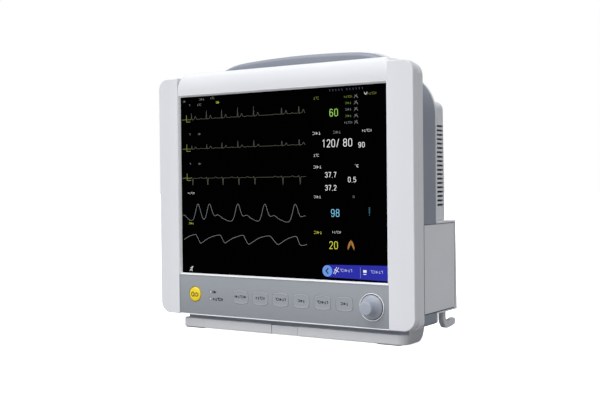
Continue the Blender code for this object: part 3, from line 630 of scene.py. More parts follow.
def key_outline(centre_x, grow=0.0):
    """A barrel: bowed ends, arched top and bottom, rounded corners."""
    wide, high, count = KEY_WIDTH / 2 + grow, KEY_HEIGHT / 2 + grow, 7
    quarter = []
    for i in range(count + 1):
        t = i / count
        quarter.append((wide - 0.5 * t * t, (high - 3.4) * t))
    for i in range(1, 6):
        a = math.radians(90 * i / 5)
        quarter.append((wide - 0.5 - 2.4 + 2.4 * math.cos(a) - 0.2 * i / 5,
                        high - 3.4 + 2.1 * math.sin(a)))
    flat = wide - 3.1
    for i in range(1, count + 1):
        x = flat * (1 - i / count)
        quarter.append((x, high - 1.3 + 1.3 * (1 - (x / flat) ** 2)))
    full = quarter + flipped(quarter[:-1])
    full += [(-x, -z) for x, z in quarter[1:]] + [(x, -z) for x, z in reversed(quarter[1:-1])]
    return [(centre_x + x, KEY_Z + z) for x, z in full]


film = [rectangle(-154.8, -166.8, 153.9, -117.3)]
film += [circle(*POWER_AT, 10.0, 72), circle(*KNOB_AT, 16.7, 96)]
film += [key_outline(x, 0.1) for x in KEY_X.values()]
film += [circle(*at, 1.9, 32) for at in LENSES.values()]
emit("panel_film", slab(film, -3.0, -0.6, bevel=0.22, steps=2), SILVER, node="control_panel")

carrier = [rectangle(-154.5, -166.6, 152.6, -126.8)]
carrier += [circle(*POWER_AT, 11.6), circle(*KNOB_AT, 17.2)]
carrier += [key_outline(x, -1.2) for x in KEY_X.values()]
carrier += [circle(*at, 2.4, 24) for at in LENSES.values()]
emit("panel_carrier", slab(carrier, -0.5, -0.1), BLACK)

# strokes of five stand-in letters, in a unit square
LETTERS = [
    [[(0, 0), (0, 1)], [(0, 0.5), (1, 0.5)]],
    [[(0, 1), (1, 1), (1, 0)]],
    [[(0, 0), (0, 1)], [(1, 0), (1, 1)]],
    [[(0, 0), (1, 0)], [(0.5, 0), (0.5, 1)]],
    [[(0, 1), (1, 1)], [(0, 0), (1, 0)]],
]


def legend(into, centre_x, centre_z, count, height, front, back, weight):
    """A run of plain strokes in the place of a printed word; weight is their share of height."""
    wide, pitch = height * 0.62, height * 0.98
    for i in range(count):
        left = centre_x + (i - (count - 1) / 2) * pitch - wide / 2
        for path in LETTERS[(i * 3 + count) % len(LETTERS)]:
            points = [(left + x * wide, centre_z + (z - 0.5) * height) for x, z in path]
            thick(into, points, height * weight, front, back)


# (growth of the outline, y) from the rear of a keycap to its dished face
CAP_SECTIONS = [(0, 1.5), (0, -2.94), (-0.1, -3.08), (-0.35, -3.18), (-0.8, -3.2),
                (-1.3, -3.17), (-2.0, -3.08), (-2.6, -3.06)]
for key, x in KEY_X.items():
    node = "key_" + key
    cap = loft([[(px, y, pz) for px, pz in key_outline(x, grow)] for grow, y in CAP_SECTIONS])
    emit("keycap_" + key, cap, KEYCAP, node, node=node, angle=50)
    # painted highlight: lighter arcs laid along the top and bottom of each key
    outline = sorted(key_outline(x, -0.62))
    highlight_arcs = bmesh.new()
    thick(highlight_arcs, [p for p in outline if p[1] > KEY_Z + 5.6], 0.6, -3.3, -3.1)
    thick(highlight_arcs, [p for p in outline if p[1] < KEY_Z - 5.6], 0.5, -3.3, -3.1)
    emit("key_arc_highlight_" + key, highlight_arcs, KEY_HIGHLIGHT_AND_DOT, node, slot="key_silver", weighted=False)
    mark = bmesh.new()
    legend(mark, x, KEY_Z + 0.3, KEY_LEGENDS[key], 2.7, -3.2, -3.0, weight=0.34)
    emit("mark_" + key, mark, PRINT, node, slot="black_plastic", weighted=False)

# turned profiles are (radius, height towards the front)
BUTTON_PROFILE = [(0, 4.35), (3.0, 4.32), (6.0, 4.2), (7.8, 3.98), (8.8, 3.6), (9.3, 3.1),
                  (9.5, 2.5), (9.5, 0.0), (11.0, 0.0), (11.0, -1.0), (0, -1.0)]
remake("power_button", lathe(BUTTON_PROFILE, (POWER_X, 0, POWER_Z), 96), YELLOW,
       body="power_button", angle=50)


def power_marks():
    """A broken ring with a bar on the right, an oval with a slanting stroke on the left."""
    mark = bmesh.new()
    front, back, width = -4.45, -4.0, 0.95
    bar_x, ring_z = POWER_X + 3.0, POWER_Z - 0.2
    thick(mark, arc(bar_x, ring_z, 2.48, 125, 410, 19), width, front, back)
    thick(mark, [(bar_x, ring_z + 0.465), (bar_x, ring_z + 3.1)], width, front, back)
    oval = [(POWER_X - 3.1 + 2.1 * x, POWER_Z - 0.1 + 2.7 * z) for x, z in circle(0, 0, 1, 18)]
    thick(mark, oval, width, front, back, closed=True)
    slant = [(POWER_X - 2.6, POWER_Z - 1.2), (POWER_X - 0.4, POWER_Z - 3.4)]
    thick(mark, slant, 0.8, front, back)
    return mark


emit("power_button_mark", power_marks(), OLIVE, "power_button", slot="button_yellow",
     weighted=False)

LENS_PROFILE = [(0, 3.4), (0.7, 3.33), (1.2, 3.15), (1.5, 2.85), (1.6, 2.5), (1.6, -1.0),
                (0, -1.0)]
for node, (x, z) in LENSES.items():
    remake(node, lathe(LENS_PROFILE, (x, 0, z), 40), LENS, angle=50)
marks = bmesh.new()
legend(marks, -97.4, MAINS_Z, 2, 3.2, -3.12, -2.98, weight=0.42)
legend(marks, -92.0, ON_Z, 5, 3.1, -3.12, -2.98, weight=0.42)
emit("panel_marks", marks, PRINT, slot="black_plastic", weighted=False)

CUP_RADIUS = 15.1
RING_PROFILE = [(16.3, 0.2), (16.3, 3.7), (16.15, 4.1), (15.85, 4.25), (15.5, 4.2),
                (15.25, 3.9), (CUP_RADIUS, 3.4), (CUP_RADIUS, 1.55), (4.4, 1.55), (4.4, 0.2)]
ring = remake("knob_ring", lathe(RING_PROFILE, (KNOB_X, 0, KNOB_Z), 120, closed=True), RIM,
              slot="ring_white", angle=40)
# the cup inside the white ring is dark
ring.data.materials.append(CUP)
for polygon in ring.data.polygons:
    from_x = polygon.center.x - KNOB_X / 1000
    from_z = polygon.center.z - (KNOB_Z + Z_FLOOR) / 1000
    if math.hypot(from_x, from_z) * 1000 < CUP_RADIUS + 0.05:
        polygon.material_index = 1

KNOB_PROFILE = [
    (0, 20.0), (4.0, 20.0), (6.6, 19.95), (7.5, 19.75), (8.0, 19.3), (8.25, 18.6), (8.35, 17.2),
    (8.55, 15.0), (8.95, 12.6), (9.55, 10.6), (10.4, 8.9), (11.5, 7.4), (12.6, 6.3),
    (13.5, 5.5), (14.0, 5.0), (14.2, 4.5), (14.2, 2.9), (14.0, 2.72), (2.3, 2.72), (2.3, 13.5),
    (0, 13.5)]
remake("jog_knob", lathe(KNOB_PROFILE, (KNOB_X, 0, KNOB_Z), 120), KNOB, body="knob", angle=45)
DOT_OFFSET, DOT_ANGLE = 5.2, 2.2
dot_centre = (KNOB_X + DOT_OFFSET * math.cos(DOT_ANGLE), 0,
              KNOB_Z + DOT_OFFSET * math.sin(DOT_ANGLE))
dot = lathe([(0, 20.12), (0.55, 20.12), (0.75, 19.9), (0, 19.9)], dot_centre, 24)
emit("jog_knob_dot", dot, KEY_HIGHLIGHT_AND_DOT, "knob", slot="knob_grey", angle=50)

# ------------------------------------------------------------------ screen and its picture

refine("lcd_panel", GLASS, width=0.4)
# what is drawn stands just in front of the glass; each layer lies 0.05 further forward
DRAW_FRONT, DRAW_BACK, LAYER = -0.06, -0.02, 0.05
FLAT_FRONT = DRAW_FRONT - 0.06
lit = {
    name: glow("lit_" + name, **values) for name, values in {
        "green": dict(rgb=(0.40, 0.80, 0.14), strength=0.9),
        "trace": dict(rgb=(0.30, 0.33, 0.23), strength=0.44),
        "lime": dict(rgb=(0.44, 0.54, 0.08), strength=0.5),
        "white": dict(rgb=(0.90, 0.93, 0.93), strength=0.95),
        "grey": dict(rgb=(0.42, 0.45, 0.45), strength=0.6),
        "pleth": dict(rgb=(0.50, 0.56, 0.58), strength=0.54),
        "cyan": dict(rgb=(0.22, 0.62, 0.88), strength=0.95),
        "yellow": dict(rgb=(0.75, 0.78, 0.06), strength=0.9),
        "orange": dict(rgb=(0.72, 0.30, 0.05), strength=0.5),
        "blue": dict(rgb=(0.012, 0.015, 0.42), strength=0.85, grain=0.05),
        "bar_text": dict(rgb=(0.62, 0.66, 0.88), strength=0.75),
        "row": dict(rgb=(0.26, 0.50, 0.10), strength=0.62),
        "date": dict(rgb=(0.13, 0.15, 0.27), strength=0.8),
        "teal": dict(rgb=(0.10, 0.34, 0.48), strength=0.6),
        "sky": dict(rgb=(0.14, 0.33, 0.86), strength=0.9, grain=0.05),
    }.items()
}
# each pen gathers its strokes into one object, "screen_" and its name
PEN_MATERIALS = {
    "heart_traces": lit["trace"], "marks_lime": lit["lime"], "pulse_trace": lit["pleth"],
    "breath_trace": lit["grey"], "numbers_green": lit["green"], "numbers_white": lit["white"],
    "numbers_cyan": lit["cyan"], "numbers_yellow": lit["yellow"], "captions": lit["grey"],
    "date": lit["date"], "rows": lit["row"], "pulse_bar": lit["teal"], "chest": lit["orange"],
    "bar_text": lit["bar_text"], "bar": lit["blue"], "bar_button": lit["sky"],
    "bar_arrow": PRINT,
}
pens = {name: bmesh.new() for name in PEN_MATERIALS}
LIME, GREY, WHITE_PEN, YELLOW_PEN = "marks_lime", "captions", "numbers_white", "numbers_yellow"


def stroke(pen, points, width, layer=0, closed=False):
    thick(pens[pen], points, width, DRAW_FRONT - 0.10 - LAYER * layer, DRAW_BACK, closed)


def caption(pen, x, z, count, height, layer=0, weight=0.12):
    front = DRAW_FRONT - 0.08 - LAYER * layer
    legend(pens[pen], x, z, count, height, front, DRAW_BACK, weight)


def captions(*entries):
    """Each entry is (pen, x, z, count, height)."""
    for entry in entries:
        caption(*entry)


# figures as strokes in a unit square; a stroke that ends where it starts is a ring
BOWL = [(1, 0.36), (1, 0.2), (0.88, 0.06), (0.65, 0), (0.35, 0), (0.12, 0.06), (0, 0.2)]
GLYPHS = {
    "0": [[(0.35, 1), (0.65, 1), (0.88, 0.94), (1, 0.8), (1, 0.2), (0.88, 0.06), (0.65, 0),
           (0.35, 0), (0.12, 0.06), (0, 0.2), (0, 0.8), (0.12, 0.94), (0.35, 1)]],
    "1": [[(0.12, 0.80), (0.55, 1), (0.55, 0)]],
    "2": [[(0, 0.78), (0.12, 0.93), (0.35, 1), (0.65, 1), (0.88, 0.93), (1, 0.8), (0.96, 0.6),
           (0.04, 0.02), (0.04, 0), (1, 0)]],
    "3": [[(0, 0.82), (0.12, 0.94), (0.35, 1), (0.65, 1), (0.88, 0.94), (0.97, 0.8),
           (0.97, 0.66), (0.85, 0.56), (0.45, 0.53)],
          [(0.45, 0.53), (0.88, 0.49)] + BOWL],
    "5": [[(0.95, 1), (0.1, 1), (0.06, 0.55), (0.35, 0.62), (0.65, 0.62), (0.88, 0.55)] + BOWL],
    "6": [[(0.95, 0.86), (0.82, 0.96), (0.6, 1), (0.38, 1), (0.12, 0.92), (0, 0.74), (0, 0.2),
           (0.12, 0.06), (0.35, 0), (0.65, 0), (0.88, 0.06), (1, 0.2), (1, 0.40), (0.88, 0.54),
           (0.65, 0.6), (0.35, 0.6), (0.1, 0.52)]],
    "7": [[(0, 1), (1, 1), (0.36, 0)]],
    "8": [[(0.35, 0.54), (0.65, 0.54), (0.88, 0.49)] + BOWL
          + [(0, 0.36), (0.12, 0.49), (0.35, 0.54)],
          [(0.35, 0.54), (0.12, 0.60), (0.03, 0.72), (0.03, 0.84), (0.14, 0.95), (0.35, 1),
           (0.65, 1), (0.86, 0.95), (0.97, 0.84), (0.97, 0.72), (0.88, 0.60), (0.65, 0.54)]],
    "9": [[(0.05, 0.14), (0.18, 0.04), (0.4, 0), (0.62, 0), (0.88, 0.08), (1, 0.26), (1, 0.8),
           (0.88, 0.94), (0.65, 1), (0.35, 1), (0.12, 0.94), (0, 0.8), (0, 0.60), (0.12, 0.46),
           (0.35, 0.4), (0.65, 0.4), (0.9, 0.48)]],
    "/": [[(0.1, -0.06), (0.75, 1.06)]],
}
NARROW = {".": 0.12, "1": 0.44, "/": 0.46}  # widths as a share of height


def number(pen, text, centre_x, centre_z, height, wide, gap, bold):
    """A reading on the display; wide, gap and bold are shares of its height."""
    places, x = [], 0.0
    for letter in text:
        width = NARROW.get(letter, wide) * height
        places.append((letter, x, width))
        x += width + gap * height
    start = centre_x - (x - gap * height) / 2
    line = bold * height
    for letter, left, width in places:
        left += start
        if letter == ".":
            low = centre_z - height / 2
            cube((left, DRAW_FRONT - 0.1, low - line / 2), (left + line, DRAW_BACK, low + line / 2),
                 into=pens[pen])
            continue
        for path in GLYPHS[letter]:
            closed = path[0] == path[-1]
            points = [(left + x * width, centre_z + (z - 0.5) * (height - line))
                      for x, z in path]
            stroke(pen, points[:-1] if closed else points, line, closed=closed)


def hump(distance, centre, width, height):
    return height * math.exp(-((distance - centre) / width) ** 2)


BEATS = [-134.5, -109.8, -85.1, -59.8, -35.0, 7.2, 32.4]


def heart_trace(baseline, drift, heights, rest=0.0, inverted=False):
    """One heart trace: for each beat a small wave, a sharp spike and, if upright, a broad
    wave of height rest."""
    points = []
    x = -150.5
    while x <= 41.5:
        z = baseline + drift * (x + 150) / 191
        for beat, tall in zip(BEATS, heights):
            past = x - beat
            if inverted:
                z += hump(past, centre=-10.5, width=1.7, height=1.2)
                z -= hump(past, centre=1.1, width=0.55, height=tall)
                z += hump(past, centre=-0.9, width=0.5, height=1.4)
            else:
                z += hump(past, centre=-9.5, width=1.4, height=0.7)
                z += hump(past, centre=0, width=0.36, height=tall)
                z -= hump(past, centre=1.1, width=0.5, height=0.7)
                if past > 0:
                    z += hump(past, centre=6.4, width=1.25, height=rest)
        points.append((x, z))
        x += 0.42
    stroke("heart_traces", points, 0.26)


heart_trace(85.2, 0.9, [8.5, 11.0, 12.0, 12.0, 12.0, 10.0, 10.5], rest=4.2)
heart_trace(47.0, 0.7, [4.5, 5.5, 8.0, 8.5, 8.6, 7.0, 8.5], rest=2.8)
heart_trace(8.8, 0.2, [9.5, 9.5, 9.8, 10.0, 9.6, 9.8, 9.6], inverted=True)
for z in (86.8, 48.6, 10.6):
    stroke(LIME, [(-142.9, z + 4.6), (-142.9, z - 4.4), (-136.6, z - 4.4)], 0.6)
    stroke(LIME, [(-150.0, z - 1.4), (-136.0, z - 1.4)], 0.36)

PULSE_PEAKS = [-125.4, -106.6, -61.1, -19.5, 25.8]


def pulse_height(x):
    """Pulse wave: quick rise, a first fall, a shoulder and a slow fall."""
    value = 0.0
    for i, peak in enumerate(PULSE_PEAKS):
        past = x - peak
        value += hump(past, centre=0, width=5.2 if past < 0 else 5.6, height=22.0)
        if i:
            value += hump(past, centre=13.5, width=7.0, height=8.0)
            value += hump(past, centre=24.0, width=6.0, height=2.0)
        else:
            value += hump(past, centre=-24, width=7.0, height=7.5)
    return -46.6 + value


pulse_x = [i * 0.6 - 151.3 for i in range(321)]
stroke("pulse_trace", [(x, pulse_height(x)) for x in pulse_x], 0.3)


def spline(points, per=8):
    """A smooth curve through the points, in per steps for each span."""
    out = []
    for i in range(len(points) - 1):
        near = (points[max(0, i - 1)], points[i], points[i + 1],
                points[min(len(points) - 1, i + 2)])
        for k in range(per):
            t = k / per
            out.append(tuple(
                0.5 * (2 * b + (c - a) * t + (2 * a - 5 * b + 4 * c - d) * t * t
                       + (-a + 3 * b - 3 * c + d) * t ** 3)
                for a, b, c, d in zip(*near)))
    out.append(points[-1])
    return out


BREATH_KNOTS = [
    (-149.1, -71.3), (-141, -67.0), (-130.6, -64.4), (-127.0, -67.5), (-122.0, -75.3),
    (-118, -73.8), (-106, -67.6), (-90.8, -64.2), (-87.2, -67.5), (-82.5, -74.0), (-78, -72.2),
    (-68, -67.4), (-54.0, -63.9), (-50.5, -67.3), (-45.3, -74.6), (-40, -72.8), (-28, -66.6),
    (-13.6, -63.8), (-8.4, -67.0), (-1.1, -73.8), (4, -72.4), (14, -66.8), (26.0, -63.6),
    (29.4, -67.6), (32.0, -73.2), (36, -74.4), (42.0, -73.0)]
stroke("breath_trace", spline(BREATH_KNOTS), 0.38)

# pen, text, centre x, centre z, height, then width, gap and line as shares of the height
READINGS = [
    ("numbers_green", "60", 81.6, 84.2, 9.0, 0.46, 0.28, 0.08),
    (WHITE_PEN, "120/", 77.4, 48.1, 9.4, 0.44, 0.25, 0.08),
    (WHITE_PEN, "80", 100.3, 48.3, 9.4, 0.46, 0.28, 0.08),
    (WHITE_PEN, "90", 118.9, 45.1, 6.2, 0.48, 0.3, 0.098),
    (WHITE_PEN, "37.7", 76.5, 10.7, 6.4, 0.48, 0.27, 0.098),
    (WHITE_PEN, "0.5", 105.8, 4.7, 6.2, 0.48, 0.29, 0.098),
    (WHITE_PEN, "37.2", 76.5, -4.7, 6.4, 0.48, 0.27, 0.098),
    ("numbers_cyan", "98", 82.4, -34.7, 9.2, 0.45, 0.28, 0.08),
    (YELLOW_PEN, "20", 79.7, -72.9, 9.2, 0.46, 0.28, 0.08),
]
for reading in READINGS:
    number(*reading)

# captions over the heart traces and along the top
captions(
    (GREY, -137.8, 103.9, 1, 2.3), (GREY, -121.5, 104.0, 3, 2.3), (GREY, -137.8, 66.2, 1, 2.3),
    (GREY, -121.5, 66.2, 2, 2.3), (GREY, -137.8, 27.6, 1, 2.3), (GREY, -121.5, 27.6, 2, 2.3),
    (GREY, -146.0, 109.3, 2, 2.3), (GREY, -117.5, 110.8, 4, 2.3), (GREY, -100.0, 111.6, 3, 2.3),
)
for i in range(11):
    x = 76.0 + 4.2 * i + (2.4 if i > 4 else 0)
    caption("date", x, 110.4 + 0.02 * i, 1, 2.0, weight=0.16)
caption(WHITE_PEN, -136.4, -10.4, 5, 2.2)

# rows at the upper right: z, pen and letters, each with a small figure of four strokes
ROWS = [(102.0, LIME, 5), (94.6, "rows", 4), (87.0, GREY, 4), (79.4, "rows", 4), (71.8, GREY, 5)]
ROW_FIGURE = [
    [(109.6, -2.0), (111.4, 0.4), (113.4, 2.2)], [(111.4, 0.4), (114.2, -0.4)],
    [(112.6, 0.2), (114.6, -2.2)], [(110.0, 1.6), (111.4, 0.4)]]
for row_z, pen, count in ROWS:
    caption(pen, 101.4, row_z, count, 2.2)
    for points in ROW_FIGURE:
        stroke(GREY, [(x, row_z + z) for x, z in points], 0.34)

# captions and small signs by the readings
captions(
    (WHITE_PEN, 57.2, 60.6, 4, 3.0), (GREY, 85.6, 60.9, 4, 2.8), (WHITE_PEN, 126.1, 61.5, 5, 2.6),
    (WHITE_PEN, 56.8, 34.2, 3, 2.8), (WHITE_PEN, 58.0, 20.2, 4, 3.0),
    (WHITE_PEN, 57.6, -15.5, 4, 2.6),
)
stroke(GREY, [(106.9, -16.6), (108.9, -14.2)], 0.34)
for x, z in ((107.0, -14.5), (108.8, -16.3)):
    stroke(GREY, [(x - 0.35, z), (x + 0.35, z)], 0.6)
stroke(GREY, circle(110.6, 22.2, 0.6, 10) + [(111.2, 22.2)], 0.3)
stroke(WHITE_PEN, arc(113.6, 20.6, 1.4, 50, 310), 0.5)
captions(
    (WHITE_PEN, 84.0, -57.4, 5, 2.4), (LIME, 57.5, 102.6, 3, 2.8), (LIME, 133.2, 104.2, 5, 2.4),
    (YELLOW_PEN, -91.0, 105.4, 2, 3.0), (YELLOW_PEN, -137.2, -49.8, 4, 2.2),
    (YELLOW_PEN, 57.8, -58.2, 4, 3.0),
)
stroke(WHITE_PEN,
       [(123.2, 106.2), (123.6, 104.6), (125.0, 103.2), (126.4, 104.6), (126.8, 106.2)], 0.45)
# crossed-out loudspeaker at the lower left
stroke(WHITE_PEN, [(-139.6, -108.0), (-137.8, -108.0), (-136.2, -106.2), (-136.2, -112.0),
                   (-137.8, -110.4), (-139.6, -110.4)], 0.5)
stroke(WHITE_PEN, [(-140.6, -112.4), (-134.2, -105.8)], 0.5)

# pulse bar and chest symbol
for i, width in enumerate((0.6, 1.0, 1.4, 1.8, 1.4, 1.8)):
    cube((128.7 - width / 2, FLAT_FRONT, -37.4 + 1.7 * i),
         (128.7 + width / 2, DRAW_BACK, -36.6 + 1.7 * i), into=pens["pulse_bar"])
CHEST_X = 103.6
LUNG = [(0.5, -67.4), (2.2, -67.8), (4.6, -71.0), (6.0, -75.2), (5.7, -78.2), (3.8, -76.2),
        (1.8, -73.2), (0.6, -71.4)]
for side in (-1, 1):
    lung = [(CHEST_X + side * x * 0.76, z) for x, z in LUNG]
    slab([lung], FLAT_FRONT, DRAW_BACK, into=pens["chest"])
stroke("chest", [(CHEST_X, -66.2), (CHEST_X, -69.6)], 0.7, layer=1)

# blue bar at the lower right, with a round arrow button at its left end
slab([[(72.0, -96.4), (152.0, -94.9), (152.0, -112.6), (72.0, -111.2)]], FLAT_FRONT, DRAW_BACK,
     into=pens["bar"])
slab([circle(70.8, -103.8, 6.8)], DRAW_FRONT - 0.14, DRAW_BACK, into=pens["bar_button"])
stroke("bar_arrow", [(72.2, -100.5), (69.0, -103.8), (72.2, -107.1)], 1.7, layer=3)
for points in ([(79.6, -106.6), (84.0, -98.8)], [(81.4, -107.4), (86.6, -99.2)],
               [(80.6, -101.6), (86.8, -104.6)]):
    stroke(WHITE_PEN, points, 0.6, layer=2)
caption("bar_text", 96.4, -102.4, 6, 2.9, layer=2, weight=0.2)
for rise in (-1.0, 0.0, 1.0):
    stroke(WHITE_PEN, [(119.8, -102.4 + rise), (124.2, -102.4 + rise)], 0.95, layer=2)
stroke(WHITE_PEN, [(120.0, -105.8), (123.8, -105.8)], 0.8, layer=2)
caption("bar_text", 137.4, -102.6, 6, 2.8, layer=2, weight=0.2)
stroke(GREY, [(116.0, -98.0), (116.0, -110.6)], 0.4, layer=2)

for name, shape in pens.items():
    emit("screen_" + name, shape, PEN_MATERIALS[name], slot="screen_glass", weighted=False,
         angle=30)

# ------------------------------------------------------------------ housing and rear cover

BLOCK_SIDE, BLOCK_LOW, BLOCK_TOP = 172.0, -162.0, 99.5
BLOCK_REAR, BLOCK_LEAN = 112.0, 6.0  # rear face at the top, and how far it leans out below
FAN_X, FAN_Z = 80.0, 30.0
INLET_X, INLET_Z = -70.0, -120.0
STUD_AT = (-100.0, -140.0)
SCREW_X, SCREW_Z = 158.0, 84.0


def rear_y(z):
    """Depth of the leaning rear face at a height."""
    return BLOCK_REAR + (BLOCK_TOP - z) * BLOCK_LEAN / (BLOCK_TOP - BLOCK_LOW)


def housing_outline(inset=0.0):
    """Round shoulders, with a pocket in the top for the handle."""
    corner, top, dip = 4 - inset, 134.0 - inset, 17.0
    right = arc(185.0 - inset - corner, -167.0 + inset + corner, corner, -90, 0, 8)
    right += arc(131.0, 80.0, 54.0 - inset, 0, 90, 30)
    right += [(106 - 14 * t, top - dip * (t * t * (3 - 2 * t)))
              for t in (0.0, 0.12, 0.25, 0.38, 0.5, 0.62, 0.75, 0.88, 1.0)]
    return right + flipped(right)


housing = remake("mid_housing",
                 slab([housing_outline(), housing_outline(3.0)], 22.8, 60.0, bevel=0.9), SLATE)
for side in (-1, 1):
    boolean(housing, side_cube(side, (170, 25.0, -152.6), (195, 70, -48.4)))

cover = remake("rear_cover", slab([housing_outline()], 60.4, 64.0, bevel=0.7), LIGHT)


def block(inset, front, soft):
    """The rear block, leaning out towards the bottom, its rear edge rounded by soft."""
    low = (-BLOCK_SIDE + inset, front, BLOCK_LOW + inset)
    high = (BLOCK_SIDE - inset, BLOCK_REAR - inset, BLOCK_TOP - inset)
    shape = cube(low, high, corner=10.0 - inset, steps=8)
    rear = [e for e in shape.edges if all(abs(v.co.y - high[1]) < 1e-4 for v in e.verts)]
    bevel_edges(shape, rear, soft, 6)
    for v in shape.verts:
        if v.co.y > 95:
            v.co.y += rear_y(v.co.z) - BLOCK_REAR
    return shape


boolean(cover, block(0, front=62.0, soft=4.0), "UNION")
boolean(cover, block(2.6, front=55.0, soft=2.0))
vents = bmesh.new()
for i in range(19):
    z = 69.0 - 5.33 * i
    for side in (-1, 1):
        side_cube(side, (165, 91.6, z - 1.25), (185, 109.4, z + 1.25), corner=1.0, axis=0,
                  steps=3, into=vents)
boolean(cover, vents)
# room for the bays at both sides
for side in (-1, 1):
    boolean(cover, side_cube(side, (119.5, 50, -155.4), (195, 130, -45.6)))
    boolean(cover, side_cube(side, (119.5, 64.6, -175), (195, 130, -155.2)))
boolean(cover, drill(28.0, 8, (FAN_X, 114, FAN_Z), 96))
boolean(cover, cube((INLET_X - 14.6, 100, INLET_Z - 11.1), (INLET_X + 14.6, 130, INLET_Z + 11.1)))
PORT_GAP = 0.5
for (left, low), (right, high) in (((22, -131), (40, -115)), ((52, -128), (67, -118))):
    boolean(cover, cube((left - PORT_GAP, 100, low - PORT_GAP),
                        (right + PORT_GAP, 130, high + PORT_GAP)))
for x, z in ((-SCREW_X, SCREW_Z), (SCREW_X, SCREW_Z), STUD_AT):
    boolean(cover, drill(2.1, 15, (x, 115, z), 32))
# shallow grooves that break up the rear wall
for z in (-70.0, -66.0, -62.0):
    boolean(cover, cube((-95, rear_y(z) - 0.5, z - 0.7), (95, rear_y(z) + 2, z + 0.7)))

refine("fan_grille", LIGHT, width=0.35)
refine("fan_frame", BLACK, width=0.5)

# ------------------------------------------------------------------ fan rotor

ROTOR_Y = 102.8
HUB_PROFILE = [(0, 5.6), (9.5, 5.6), (11.4, 5.2), (12.0, 4.2), (12.0, -5.6), (0, -5.6)]
hub = lathe(HUB_PROFILE, (FAN_X, ROTOR_Y, FAN_Z), 64, direction=(0, 1, 0))
rotor = remake("fan_rotor", hub, BLACK, body="fan_rotor", angle=40)

BLADE_ROOT, BLADE_TIP, BLADE_LIMIT, HALF_DEPTH = 10.8, 26.2, 26.9, 4.6
# blade section: share of the half width along it, share of the half thickness across it
BLADE_SECTION = [(-1, 0), (-0.5, 0.8), (0.2, 1), (1, 0.2), (1, -0.1), (0.2, -0.6), (-0.5, -0.5)]


def blade_section(blade, share):
    """The section of one of seven blades at a share of the way from root to tip."""
    radius = BLADE_ROOT + (BLADE_TIP - BLADE_ROOT) * share
    pitch = math.radians(50 - 22 * share)
    turn = math.tau * blade / 7 + 0.12 * share
    half_width, half_thick = 4.6 + 0.9 * share, 0.55
    points = []
    for along, across in BLADE_SECTION:
        along *= half_width
        across *= half_thick
        tangential = along * math.cos(pitch) - across * math.sin(pitch)
        axial = along * math.sin(pitch) * 0.85 + across * math.cos(pitch)
        x = radius * math.cos(turn) - tangential * math.sin(turn)
        z = radius * math.sin(turn) + tangential * math.cos(turn)
        scale = min(1.0, BLADE_LIMIT / math.hypot(x, z))
        y = ROTOR_Y + max(-HALF_DEPTH, min(HALF_DEPTH, axial))
        points.append((FAN_X + x * scale, y, FAN_Z + z * scale))
    return points


blades = bmesh.new()
for i in range(7):
    loft([blade_section(i, k / 6) for k in range(7)], into=blades)
boolean(rotor, blades, "UNION")

baffles = bmesh.new()
for side in (-1, 1):
    side_cube(side, (150, 86, -34), (151.5, 106, 76), soft=0.3, into=baffles)
emit("vent_baffles", baffles, BLACK)

# ------------------------------------------------------------------ handle

HANDLE_LOW, HANDLE_TOP = 134.6, 164
# (x, z) up the right half, under the arch and then down from the grip to each shoulder
HANDLE_UNDER = [(93, 148.6), (97, 148.0), (100.4, 146.6), (103.2, 144.4), (105.4, 141.5),
                (107, 138.0), (108, HANDLE_LOW)]
REAR_SLOPE = [(131, 150.5), (125, 152.3), (120, 154.6), (115, 156.7), (110, 158.3),
              (106, 159.1), (100, 160.0), (90, 161.0)]
FRONT_SLOPE = [(120, 152.4), (113, 155.1), (106, 157.3), (99, 159.0), (90, 160.6)]


def handle_outline(corner, slope):
    """The whole arch; corner lists the points of the right shoulder, from below."""
    grip = [(x, HANDLE_TOP - 3.2 * (x / 90) ** 2) for x in range(80, 0, -10)]
    half = HANDLE_UNDER + [(corner[0][0], HANDLE_LOW)] + corner + slope + grip
    return half + [(0, HANDLE_TOP)] + flipped(half)


def front_outline(reach=126, shoulder=150.2):
    corner = [(reach, shoulder - 1.2), (reach - 1.2, shoulder)]
    return [(x, z - (0.6 - 0.005 * x) if z > 151 else z)
            for x, z in handle_outline(corner, FRONT_SLOPE)]


def rear_outline(reach=139, shoulder=149.6):
    corner = [(reach, shoulder - 2.0), (reach - 0.8, shoulder - 0.5), (reach - 2.2, shoulder)]
    return handle_outline(corner, REAR_SLOPE)


def arch(outline, front_y, rear_y, front, rear):
    """The outline as rings along y; front and rear say how far each edge is rounded in
    and down."""
    rings = []  # y, drop of the top, lift of the underside
    for i in range(9):
        a = math.radians(90 * i / 8)
        fade = 1 - math.sin(a)
        rings.append((front_y + front[0] * (1 - math.cos(a)), front[1] * fade, 1.2 * fade))
    for i in range(9):
        a = math.radians(90 - 90 * i / 8)
        fade = 1 - math.sin(a)
        rings.append((rear_y - rear[0] * (1 - math.cos(a)), rear[1] * fade, 1.2 * fade))
    rings[0] = (front_y, rings[0][1] + 0.2, rings[0][2])
    sections = []
    for y, drop, lift in rings:
        points = []
        for x, z in outline:
            if z <= 148.7:
                if z > 148.0:
                    z += lift
                if abs(x) > 108:
                    x -= math.copysign(lift * 0.6, x)
                elif abs(x) > 93:
                    x += math.copysign(lift * 0.6, x)
            else:
                z -= drop * min(1.0, (z - HANDLE_LOW) / 16.0)
                if abs(x) > 112:
                    x -= math.copysign(drop * 0.25 + lift * 0.5, x)
            points.append((x, y, z))
        sections.append(points)
    return loft(sections)


remake("handle_front", arch(front_outline(), 44.0, 58.1, front=(11.0, 5.5), rear=(1.2, 0.8)),
       SLATE, angle=50)
rear_handle = remake(
    "handle_rear", arch(rear_outline(), 58.3, 74.0, front=(0.8, 0.5), rear=(7.0, 5.0)), LIGHT,
    angle=50)
